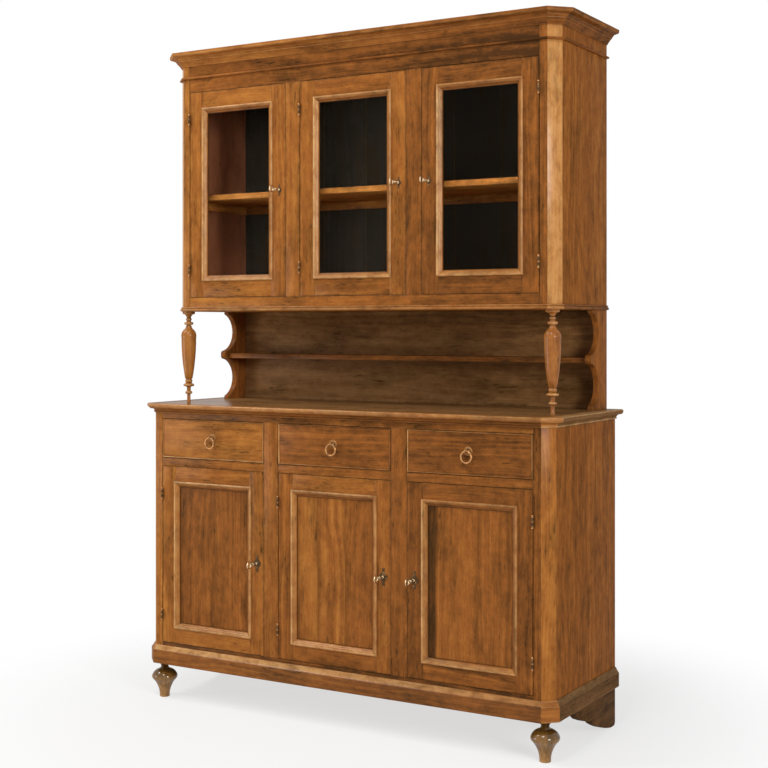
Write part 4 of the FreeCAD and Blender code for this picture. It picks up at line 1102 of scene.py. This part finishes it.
def niche_brackets(chance):
    """Two scalloped boards at the sides of the niche: a lobe above and below a beak in the middle."""
    low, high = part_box("niche_side_brackets")
    back, bottom, top = (high.y - low.y) / MM, low.z / MM, high.z / MM
    shoulder, lobe, throat, thick = back - 112.0, back - 64.0, 14.0, 20.0
    beak_top = bottom + 166.0
    beak_bottom = beak_top - 14.0
    outline = [(back, bottom), (shoulder, bottom), (shoulder, bottom + 10),
               ((lobe, (bottom + beak_bottom) / 2), (throat, beak_bottom - 8)),
               ((4, beak_bottom - 5), (0, beak_bottom)), (0, beak_top),
               ((4, beak_top + 5), (throat, beak_top + 8)),
               ((lobe, (beak_top + top) / 2), (shoulder, top - 8)), (shoulder, top), (back, top)]
    shapes = ((outline, lambda a, b, through: Vector((high.x - through, low.y + a, b)), UPWARDS, 0.0),)
    whole = empty_mesh()
    for board in both_sides(shapes, thick * MM, chance):
        join(whole, board)
    stand_for("scalloped_brackets", whole, ROOT, "niche_side_brackets", [cherry()])


class DRESSER_OT_niche(bpy.types.Operator):
    """Niche: two turned columns, scalloped side brackets, back panel and narrow shelf"""
    bl_idname = "dresser.niche"
    bl_label = "Niche"

    def execute(self, context):
        chance = random.Random(14)
        niche_columns(chance)
        niche_brackets(chance)
        # painted light: the back is made far lighter than its wood, most of all low down at the left where
        # light falls into the niche
        boards_for("niche_back_panel", ROOT, [niche_cherry()], chance, tones=lambda i, low, high: 10.0,
                   tone_slope=Vector((-1.6, 0, -8)))
        boards_for("niche_shelf", ROOT, [cherry()], chance)
        return {"FINISHED"}


class DRESSER_OT_hutch(bpy.types.Operator):
    """Hutch: side panels, cants, face frame, floor and top, shelf and ebonised back boards"""
    bl_idname = "dresser.hutch"
    bl_label = "Hutch"

    def execute(self, context):
        chance = random.Random(15)

        def side_finish(number, face):
            if number > 1:
                return 1
            return 2 if face.normal.x * face.verts[0].co.x < -0.1 else 0

        # painted light: the cants are much lighter and carry a painted sheen from the lamp at the right
        boards_for("hutch_side_panels", ROOT, [cherry(True), turned_cherry(), stained_inside()], chance,
                   choose=side_finish, tones=lambda i, low, high: 3.2 if i > 1 else 1.0, plain=(2, 3),
                   painted_sheen={2: 0.4, 3: 0.4})
        # painted light: the hutch's face frame is much lighter towards the left
        boards_for("hutch_face_frame", ROOT, [cherry()], chance, tones=frame_tone, tone_slope=Vector((-3.2, 0, 0)))
        boards_for("hutch_floor_and_top", ROOT, [cherry(True)], chance)
        boards_for("hutch_shelf", ROOT, [cherry()], chance)
        boards_for("hutch_back_boards", ROOT, [ebonised()], chance)
        return {"FINISHED"}


class DRESSER_OT_cornice(bpy.types.Operator):
    """Cornice, frieze bead and the bead along the hutch's lower edge, all mitred round the cants"""
    bl_idname = "dresser.cornice"
    bl_label = "Cornice and beads"

    def execute(self, context):
        chance = random.Random(16)
        out, height, nose = (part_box("cornice_and_beads")[1].x - HUTCH_HALF) / MM, 44.0, 12.0
        crown = [(0, 0), (2.5, 0), (2.5, 1.5), ((0.17 * out, 0.18 * height), (0.36 * out, 0.39 * height)),
                 (0.41 * out, 0.4 * height), (0.41 * out, 0.44 * height),
                 ((0.47 * out, 0.53 * height), (0.56 * out, 0.6 * height)), (0.57 * out, height - nose - 3),
                 ((0.73 * out, height - nose - 1.5), (0.86 * out, height - nose)),
                 ((0.97 * out, height - 0.8 * nose), (out, height - 0.45 * nose)), (out, height), (0, height)]
        deep, tall = 9.0, 7.0
        bead = [(0, 0), (deep - tall / 2, 0), ((deep, tall / 2), (deep - tall / 2, tall)), (0, tall)]
        deep, tall = 7.5, 15.0
        lower_bead = [(0, 0), (deep - 3.5, 0), ((deep, 0.3 * tall), (deep - 3.5, 0.6 * tall)),
                      (deep - 5, 0.62 * tall), ((deep - 3, 0.8 * tall), (deep - 5, tall)), (0, tall)]
        opening_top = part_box("hutch_left_door_frame")[1].z + joinery().door_gap
        bead_level = opening_top + 0.046
        path = corner_path(HUTCH_HALF, HUTCH_FRONT, BACK, joinery().hutch_cant)
        # painted light: the cornice and the frieze bead are lighter towards the left
        lighter_to_the_left = Vector((-2.6, 0, 0))
        whole = mitred_runs(crown, path, in_plan(TOP - height * MM), chance, steps=8,
                            tones=(-0.5, 0, 0.3, 1.0, 0.6), crest_rub_and_sheen=0.5, tone_slope=lighter_to_the_left)
        join(whole, mitred_runs(bead, path, in_plan(bead_level), chance, tones=(-1, 0, -1.7, 1.6, 0.2),
                                crest_rub_and_sheen=0.0, tone_slope=lighter_to_the_left))
        join(whole, mitred_runs(lower_bead, path, in_plan(HUTCH_BOTTOM), chance, tones=(-0.5, 1, 0, 1, -1),
                                crest_rub_and_sheen=0.4))
        stand_for("cornice", whole, ROOT, "cornice_and_beads", [cherry()])
        return {"FINISHED"}


def gridded(board, panel_low, panel_high):
    """The board as a block cut into a grid, finest along the panel's edges; and the board's box."""
    a, b = box_of(board)
    board.free()
    bm = block(a.x, b.x, a.y, b.y, a.z, b.z)
    for axis, count in ((0, max(3, round((b.x - a.x) / 0.02))), (2, 20)):
        normal = Vector([1.0 if j == axis else 0.0 for j in range(3)])
        cuts = [a[axis] + (b[axis] - a[axis]) * i / count for i in range(1, count)]
        for near in (0.008, 0.011, 0.014, 0.018, 0.024, 0.036, 0.055):
            cuts += [level for level in (panel_low[axis] + near, panel_high[axis] - near)
                     if a[axis] < level < b[axis]]
        for cut in cuts:
            bmesh.ops.bisect_plane(bm, geom=bm.verts[:] + bm.edges[:] + bm.faces[:], plane_co=normal * cut,
                                   plane_no=normal)
    return bm, a, b


def panel_boards(node, tones, chance, gloom):
    """The boards of a door's panel, gridded so that dark wax and painted shadow can gather along the
    moulding.

    Gloom is how much more painted shadow there is in a wide band along the panel's left edge.
    """
    low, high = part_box(node)
    covered, band = 0.010, 0.036
    whole = empty_mesh()
    boards = sorted(solids_of(node), key=lambda bm: box_of(bm)[0].x)
    for board, tone in zip(boards, tones):
        bm, a, b = gridded(board, low, high)
        lay_grain(bm, chance, UPWARDS, tone, edges=False)
        dirt_and_painted_shade = bm.verts.layers.float["dirt_and_painted_shade"]
        for vert in bm.verts:
            x, z = vert.co.x, vert.co.z
            # within 12 mm of the moulding: painted shadow with dark wax; the boards' seams darker too
            edge = min(x - low.x, high.x - x, z - low.z, high.z - z) - covered
            seam = min(abs(x - a.x), abs(x - b.x))
            dirt_and_shadow = max(0.0, 1.0 - max(0.0, edge) / 0.012) + (0.25 if seam < 1e-5 else 0.0)
            vert[dirt_and_painted_shade] = dirt_and_shadow + gloom * max(0.0, min(1.0, 1.6 - (x - low.x) / band))
        join(whole, bm)
    return whole


def moulding_light_and_wear(width, depth, gleam):
    """Painted shadow in the quirk, painted highlight and real rubbing on the crest, painted sheen on the
    ogee.
    """
    def polish(run, point):
        # painted shadow in the quirk beside the panel
        if point.x < -0.94 * width and point.y < -0.6 * depth:
            return -0.9
        # painted highlight, with real rubbing, on the crest
        if -0.35 * width < point.x and point.y > 3:
            return 0.9 if run > 1 else 0.6
        # painted sheen on the ogee, by run
        return gleam[run] if -0.8 * width < point.x < -1 and point.y > -0.5 * depth else 0.0

    return polish


class DRESSER_OT_doors(bpy.types.Operator):
    """Six doors: stiles and rails with mitred mouldings, glued-up panels below and glass above"""
    bl_idname = "dresser.doors"
    bl_label = "Doors"

    def execute(self, context):
        chance = random.Random(17)
        width, bead, depth, lip = joinery().moulding_width / MM, joinery().moulding_rise / MM, 9.0, 6.0
        inwards = [(0, 0), (0, 1.5), ((0.8, bead - 1.2), (0.17 * width, bead)),
                   ((0.27 * width, bead - 0.5), (0.33 * width, bead - 1.6)),
                   ((0.49 * width, bead - 2.8), (0.64 * width, -0.2)),
                   ((0.76 * width, -0.38 * depth), (0.93 * width, -0.62 * depth)),
                   (width, -0.66 * depth), (width, -depth), (lip, -depth), (lip, 0)]
        profile = stretched(inwards, -1, 1)
        for kind, stile, rail in (("hutch", 0.052, 0.054), ("base", 0.049, 0.049)):
            polish = moulding_light_and_wear(width, depth, GLEAM[kind])
            for side in SIDES:
                name = f"{kind}_{side}_door"
                low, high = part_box(name + "_frame")
                path = [(low.x + stile, low.z + rail), (high.x - stile, low.z + rail),
                        (high.x - stile, high.z - rail), (low.x + stile, high.z - rail)]
                # painted light: by run, the bottom and left slopes are lighter and the top one darker
                moulding = mitred_runs(profile, path, on_face(ROW_OF_DOORS[kind]), chance, closed=True,
                                       polish=polish, tones=(0.8, 0.2, -0.6, 1.2), finish_index=1)
                boards_for(name + "_frame", name, [cherry(), turned_cherry()], chance, skip=(4, 5, 6, 7),
                           extra=[moulding],
                           tones=lambda i, low, high: DOOR_TONES[side] + chance.uniform(-0.6, 0.6))
                if kind == "hutch":
                    low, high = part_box(name + "_glass")
                    pane = block(low.x, high.x, low.y, high.y, low.z, high.z)
                    stand_for(name + "_pane", pane, name, name + "_glass", [window_glass()])
                else:
                    boards = panel_boards(name + "_panel", PANEL_TONES[side], chance, GLOOM[side])
                    stand_for(name + "_boards", boards, name, name + "_panel", [cherry()])
        return {"FINISHED"}


class DRESSER_OT_drawers(bpy.types.Operator):
    """Three drawers: cherry fronts with cock beads, spruce sides, backs and bottoms"""
    bl_idname = "dresser.drawers"
    bl_label = "Drawers"

    def execute(self, context):
        chance = random.Random(18)
        bead, rise, depth = joinery().cock_bead / MM, 2.5, 6.5
        nose = rise - bead / 2
        profile = [(0, -depth), (0, nose), ((-bead / 2, rise), (-bead, nose)), (-bead, -depth)]
        top_rail, opening = 0.018, 0.133
        for side in SIDES:
            node = f"{side}_drawer_box"
            low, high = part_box(node)
            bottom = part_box("base_face_frame")[1].z - top_rail - opening + joinery().door_gap
            path = [(low.x, bottom), (high.x, bottom), (high.x, high.z), (low.x, high.z)]
            beads = mitred_runs(profile, path, on_face(BASE_FRONT), chance, closed=True, crest_rub_and_sheen=0.75,
                                tones=BEAD_TONES[side])
            boards_for(node, f"{side}_drawer", [cherry(), spruce()], chance, skip=(1, 2, 3, 4), extra=[beads],
                       choose=lambda i, face: int(i > 0), tones=lambda i, low, high: DRAWER_TONES[side])
        return {"FINISHED"}


def add_hinge(fixed, moving, x, z, front, out):
    """Adds a lift-off hinge: two knuckles between brass balls, and its leaves.

    Out is 1 where the fixed leaf lies to the right of the door, and -1 where it lies to the left.
    """
    r, height = fittings().hinge_barrel / MM, fittings().hinge_height / MM
    ball, clear, half = 6.0, 0.2, height / 2
    lower = [(0, -ball), ((0.95 * r, -0.6 * ball), (0.4 * r, -0.15 * ball)), (0.55 * r, -0.1 * ball),
             ((r, 0.8), (0.86 * r, 2.2)), (0.92 * r, half - 2.4), ((r, half - 1.2), (0.9 * r, half)),
             (0, half)]
    cap = [(0, height + clear), (0.5 * r, height + clear), (0.4 * r, height + 0.18 * ball),
           ((0.95 * r, height + 0.62 * ball), (0, height + clear + ball))]
    upper = [(0, half + clear), (0.9 * r, half + clear), ((r, half + 1.2), (0.92 * r, half + 2.4)),
             (0.86 * r, height - 2.2), ((r, height - 0.8), (0.6 * r, height)), (0, height)]
    y = front - (r + 0.5) * MM
    for outline, target in ((lower, fixed), (cap, fixed), (upper, moving)):
        part = turned(outline, brass(), 24, 5)
        for face in part.faces:
            on_knuckle = -0.1 * MM < face.calc_center_median().z < (height + clear) * MM
            face.material_index = 2 if on_knuckle else 0
        join(target, put(part, x, y, z))
    inside, thick, leaf, neck = 0.25 * MM, 1.2 * MM, 18 * MM, 2.1 * MM
    top, middle = z + height * MM, z + half * MM
    for way, target, z0, z1 in ((out, fixed, z, middle), (-out, moving, middle + clear * MM, top)):
        x0, x1 = sorted((x + way * inside, x + way * (inside + thick)))
        join(target, block(x0, x1, front, front + leaf, z, top))
        join(target, block(x0, x1, y + neck, front, z0, z1))


def lock_case_and_escutcheon(name, wider):
    """The lock case and the escutcheon of a door, the escutcheon drawn somewhat wider."""
    *hinge_halves, case, plate = solids_of(name + "_fittings")
    for bm in hinge_halves:
        bm.free()
    rub_edges(case, 0.0004, 0.004)
    centre = sum(box_of(plate), Vector()) / 2
    bmesh.ops.scale(plate, verts=plate.verts, vec=(wider, 1, 1.05), space=Matrix.Translation(-centre))
    rub_edges(plate, 0.0003, 0.0)
    return give(case, 1), give(plate, 2)


class DRESSER_OT_hinges(bpy.types.Operator):
    """Twelve lift-off hinges with turned knuckles and ball finials, and the lock cases and escutcheons"""
    bl_idname = "dresser.hinges"
    bl_label = "Hinges"

    def execute(self, context):
        gap = joinery().door_gap
        from_opening, knuckle = 0.094, fittings().hinge_height / 2
        fixed = empty_mesh()
        for kind, wider in (("hutch", 1.1), ("base", 1.3)):
            for side in SIDES:
                name = f"{kind}_{side}_door"
                low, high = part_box(name + "_frame")
                out = 1 if side == "right" else -1
                x = (high.x if out > 0 else low.x) + out * gap / 2
                moving = empty_mesh()
                for z in (low.z + from_opening - gap, high.z - from_opening + gap):
                    add_hinge(fixed, moving, x, z - knuckle, ROW_OF_DOORS[kind], out)
                for bm in lock_case_and_escutcheon(name, wider):
                    join(moving, bm)
                stand_for(name + "_brassware", moving, name, name + "_fittings",
                          [brass(), steel(), bronze()])
        stand_for("hinge_pins_and_fixed_leaves", fixed, ROOT, "fixed_hinge_halves",
                  [brass(), steel(), bronze()])
        return {"FINISHED"}


def ring_bow_key(node, front):
    """A key: ring bow, shaft with two turned beads, a collar at the door's front, and a filed bit."""
    bow, band, collar_length = fittings().bow_radius, 0.0042, 3.0
    low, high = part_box(node)
    x, z = (low.x + high.x) / 2, high.z - bow
    r, end = 2.5, (high.y - low.y - 2 * bow) / MM
    shaft = [(0, 0), (2.0, 0), (2.0, 3), (r, 4), (r, end - 12), (r + 0.9, end - 11),
             ((r + 1.7, end - 9.5), (r + 0.9, end - 8)), (r, end - 7.6), (r, end - 4),
             ((r + 1.2, end - 2.6), (r, end - 1.4)), (1.7, end + 1.6), (0, end + 1.8)]
    collar = [(0, 0), (3.2, 0), ((4.2, collar_length / 2), (3.2, collar_length)), (0, collar_length)]
    whole = empty_mesh()
    for outline, y in ((shaft, high.y), (collar, front - 3.2 * MM)):
        join(whole, put(turn(turned(outline, pale_brass(), 24, 6), 90, "X"), x, y, z))
    hoop = ring(bow - band / 2, band / 2, pale_brass())
    bmesh.ops.scale(hoop, verts=hoop.verts, vec=(1, 0.98, 1))
    join(whole, put(turn(hoop, 90, "Z"), x, low.y + bow, z))
    half_thick, bit_back, bit_length, bit_depth = 0.001, high.y - 0.0022, 0.005, 0.009
    bit = block(x - half_thick, x + half_thick, bit_back - bit_length, bit_back, z - bit_depth, z)
    rub_edges(bit, 0.0003, 0.0)
    join(whole, bit)
    return whole


class DRESSER_OT_keys(bpy.types.Operator):
    """Six keys with ring bows and turned collars, and the six lock bolts"""
    bl_idname = "dresser.keys"
    bl_label = "Keys and bolts"

    def execute(self, context):
        for kind in KINDS:
            for side in SIDES:
                key, bolt = f"{kind}_{side}_key", f"{kind}_{side}_bolt"
                stand_for(f"{kind}_{side}_ring_bow_key", ring_bow_key(key, ROW_OF_DOORS[kind]), key, key,
                          [pale_brass()])
                whole = empty_mesh()
                for bm in solids_of(bolt):
                    rub_edges(bm, 0.0006, 0.0)
                    join(whole, bm)
                stand_for(bolt + "_filed", whole, bolt, bolt, [steel()])
        return {"FINISHED"}


class DRESSER_OT_pulls(bpy.types.Operator):
    """Three drawer pulls: a turned rosette with an eye, and a loose ring"""
    bl_idname = "dresser.pulls"
    bl_label = "Ring pulls"

    def execute(self, context):
        for side in SIDES:
            node = f"{side}_drawer_rosette"
            low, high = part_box(node)
            x, z, r = (low.x + high.x) / 2, (low.z + high.z) / 2, (high.x - low.x) / 2 / MM
            rosette = [(0, 0), (r, 0), (r, 0.7), ((r - 0.8, 1.6), (r - 2.2, 1.2)), (r - 3.0, 0.9),
                       ((r - 4.6, 1.9), (r - 6.4, 1.5)), (5.2, 1.9), ((4.3, 3.4), (3.2, 4.2)), (2.9, 9.4),
                       (0, 9.4)]
            whole = empty_mesh()
            join(whole, put(turn(turned(rosette, lacquered_brass(), 48, 6), 90, "X"), x, high.y, z))
            eye = [(3.8, 0.4), ((3.9, 0.1), (4.2, 0)), (4.9, 0), ((5.4, 0.3), (5.5, 0.9)), (5.5, 5.1),
                   ((5.4, 5.7), (4.9, 6)), (4.2, 6), ((3.9, 5.9), (3.8, 5.6)), (3.8, 0.4)]
            join(whole, put(turn(turned(eye, brass(), 32, 4), 90, "Y"), x - 3 * MM, low.y + 5.5 * MM, z))
            beads, out = 28, (r - 2.6) * MM
            dots = [(x + math.cos(math.tau * i / beads) * out, high.y - 1.2 * MM,
                     z + math.sin(math.tau * i / beads) * out) for i in range(beads)]
            join(whole, heads(dots, 0.00085, 0.0006, (0, -1, 0), lacquered_brass()))
            stand_for(f"{side}_turned_rosette", whole, f"{side}_drawer", node,
                      [lacquered_brass()])
            node = f"{side}_drawer_ring"
            low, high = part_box(node)
            hoop = put(ring(fittings().ring_radius, fittings().ring_wire, brass()), *((low + high) / 2))
            stand_for(f"{side}_loose_ring", hoop, f"{side}_ring", node, [brass()])
        return {"FINISHED"}


class DRESSER_OT_nails(bpy.types.Operator):
    """Nail heads in the back boards, and screws in the lock cases"""
    bl_idname = "dresser.nails"
    bl_label = "Nails and screws"

    def execute(self, context):
        places = []
        boards, from_edge, from_end = 8, 0.022, 0.05
        for node in ("base_back_boards", "hutch_back_boards"):
            low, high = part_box(node)
            width = (high.x - low.x) / boards
            for i in range(boards):
                for z in (low.z + from_end, (low.z + high.z) / 2, high.z - from_end):
                    places += [(low.x + i * width + across, high.y - 0.0008, z)
                               for across in (from_edge, width - from_edge)]
        nails = heads(places, fittings().nail_radius, 0.0008, (0, 1, 0), steel(), 5)
        stand_for("cut_nails", nails, ROOT, None, [steel()])
        from_corner = 0.005
        for body in [f"{kind}_{side}_door" for kind in KINDS for side in SIDES]:
            solids = solids_of(body + "_fittings")
            low, high = box_of(solids[2])
            for bm in solids:
                bm.free()
            places = [(x, high.y - 0.0004, z) for x in (low.x + from_corner, high.x - from_corner)
                      for z in (low.z + from_corner, high.z - from_corner)]
            screws = heads(places, fittings().screw_radius, 0.001, (0, 1, 0), steel(), 7)
            stand_for(body + "_lock_screws", screws, body, None, [steel()])
        return {"FINISHED"}


def seen_directly(tree):
    """1 for a ray from the camera, also by way of a gloss or of glass; 0 for light that falls on things."""
    path = tree.nodes.new("ShaderNodeLightPath").outputs
    seen = path["Is Camera Ray"]
    for kind in ("Is Glossy Ray", "Is Transmission Ray"):
        seen = add(tree, MATH, "MAXIMUM", (seen, path[kind]))
    return seen


def studio_floor():
    """Pale matt floor that melts into the white surround between 0.7 and 1.7 m from the middle."""
    material, tree = finish("Pale_studio_floor")
    place = add(tree, "ShaderNodeTexCoord", {}, {}, "Object")
    away = add(tree, VECTOR_MATH, "LENGTH", (place,), "Value")
    far = add(tree, RANGE, SMOOTH, (away, 0.7, 1.7, 0.65, 1.0))
    far = add(tree, MATH, "MULTIPLY", (far, seen_directly(tree)))
    speck = add(tree, NOISE, {}, {"Vector": place, "Scale": 300.0})
    tint = add(tree, RANGE, {}, (speck, 0.0, 1.0, 0.90, 0.94))
    near = add(tree, PRINCIPLED, {}, {"Base Color": tint, "Roughness": 0.9, "Specular IOR Level": 0.1})
    white = add(tree, "ShaderNodeEmission", {}, {"Color": WHITE, "Strength": 1.0})
    add(tree, OUTPUT, {}, {"Surface": add(tree, MIX_SHADER, {}, (far, near, white))})
    mesh = bpy.data.meshes.new("floor")
    half = 30.0
    mesh.from_pydata([(-half, -half, 0), (half, -half, 0), (half, half, 0), (-half, half, 0)], [],
                     [(0, 1, 2, 3)])
    mesh.materials.append(material)
    return bpy.data.objects.new("studio_floor", mesh)


def white_surround(strength):
    """White where it is seen; elsewhere an even light of that strength."""
    world = bpy.data.worlds.new("White_surround")
    world.use_nodes = True
    tree = world.node_tree
    tree.nodes.clear()
    even, white = (add(tree, "ShaderNodeBackground", {}, {"Color": WHITE, "Strength": light})
                   for light in (strength, 1.0))
    both = add(tree, MIX_SHADER, {}, (seen_directly(tree), even, white))
    add(tree, "ShaderNodeOutputWorld", {}, {"Surface": both})
    return world


class DRESSER_OT_studio(bpy.types.Operator):
    """Pale floor, white surround, soft lamps and the camera"""
    bl_idname = "dresser.studio"
    bl_label = "Studio"

    def execute(self, context):
        s = context.scene.dresser_studio
        floor = studio_floor()
        context.collection.objects.link(floor)
        context.scene.world = white_surround(s.world_light)

        aim = Vector((0.0, 0.0, 1.1))
        for name, place, power, width in (("key_lamp", (4.6, -2.7, 2.2), s.key_power, 1.3),
                                          ("top_lamp", (0.7, -3.0, 4.2), s.top_power, 1.2),
                                          ("left_lamp", (-3.0, -1.7, 4.4), s.left_power, 1.6),
                                          ("low_lamp", (-3.4, -2.6, 0.8), s.low_power, 1.3)):
            lamp = bpy.data.lights.new(name, "AREA")
            lamp.shape, lamp.size, lamp.energy = "SQUARE", width, power
            source = bpy.data.objects.new(name, lamp)
            source.location = place
            source.rotation_euler = (aim - Vector(place)).to_track_quat("-Z", "Y").to_euler()
            context.collection.objects.link(source)

        camera = bpy.data.cameras.new("camera")
        camera.lens, camera.sensor_width, camera.shift_y = s.lens, 36.0, -0.0749
        camera.clip_end = 100.0
        viewpoint = bpy.data.objects.new("camera", camera)
        viewpoint.location = (2.3693, -3.9009, 1.2622)
        viewpoint.rotation_euler = (math.radians(90), 0.0, math.radians(30.67))
        context.collection.objects.link(viewpoint)
        context.scene.camera = viewpoint
        context.scene.view_settings.view_transform = "Standard"
        return {"FINISHED"}


OPERATORS = (DRESSER_OT_studio, DRESSER_OT_base, DRESSER_OT_feet, DRESSER_OT_worktop, DRESSER_OT_niche,
             DRESSER_OT_hutch, DRESSER_OT_cornice, DRESSER_OT_doors, DRESSER_OT_drawers, DRESSER_OT_hinges,
             DRESSER_OT_keys, DRESSER_OT_pulls, DRESSER_OT_nails)


class DRESSER_PT_panel(bpy.types.Panel):
    """Lists the dresser's pieces and sizes"""
    bl_idname = "DRESSER_PT_panel"
    bl_label = "Dresser"
    bl_space_type = "VIEW_3D"
    bl_region_type = "UI"
    bl_category = "Dresser"

    def draw(self, context):
        for operator in OPERATORS:
            self.layout.operator(operator.bl_idname)
        for group in GROUPS:
            settings = getattr(context.scene, group)
            for name in settings.__annotations__:
                self.layout.prop(settings, name)


GROUPS = {"dresser_joinery": DRESSER_joinery, "dresser_fittings": DRESSER_fittings,
          "dresser_finishes": DRESSER_finishes, "dresser_studio": DRESSER_studio}


def register():
    for kind in (*GROUPS.values(), *OPERATORS, DRESSER_PT_panel):
        bpy.utils.register_class(kind)
    for name, group in GROUPS.items():
        setattr(bpy.types.Scene, name, bpy.props.PointerProperty(type=group))


def unregister():
    for name in GROUPS:
        delattr(bpy.types.Scene, name)
    for kind in (DRESSER_PT_panel, *reversed(OPERATORS), *reversed(GROUPS.values())):
        bpy.utils.unregister_class(kind)


def main():
    register()
    for operator in OPERATORS:
        group, name = operator.bl_idname.split(".")
        getattr(getattr(bpy.ops, group), name)()


if __name__ == "__main__":
    main()
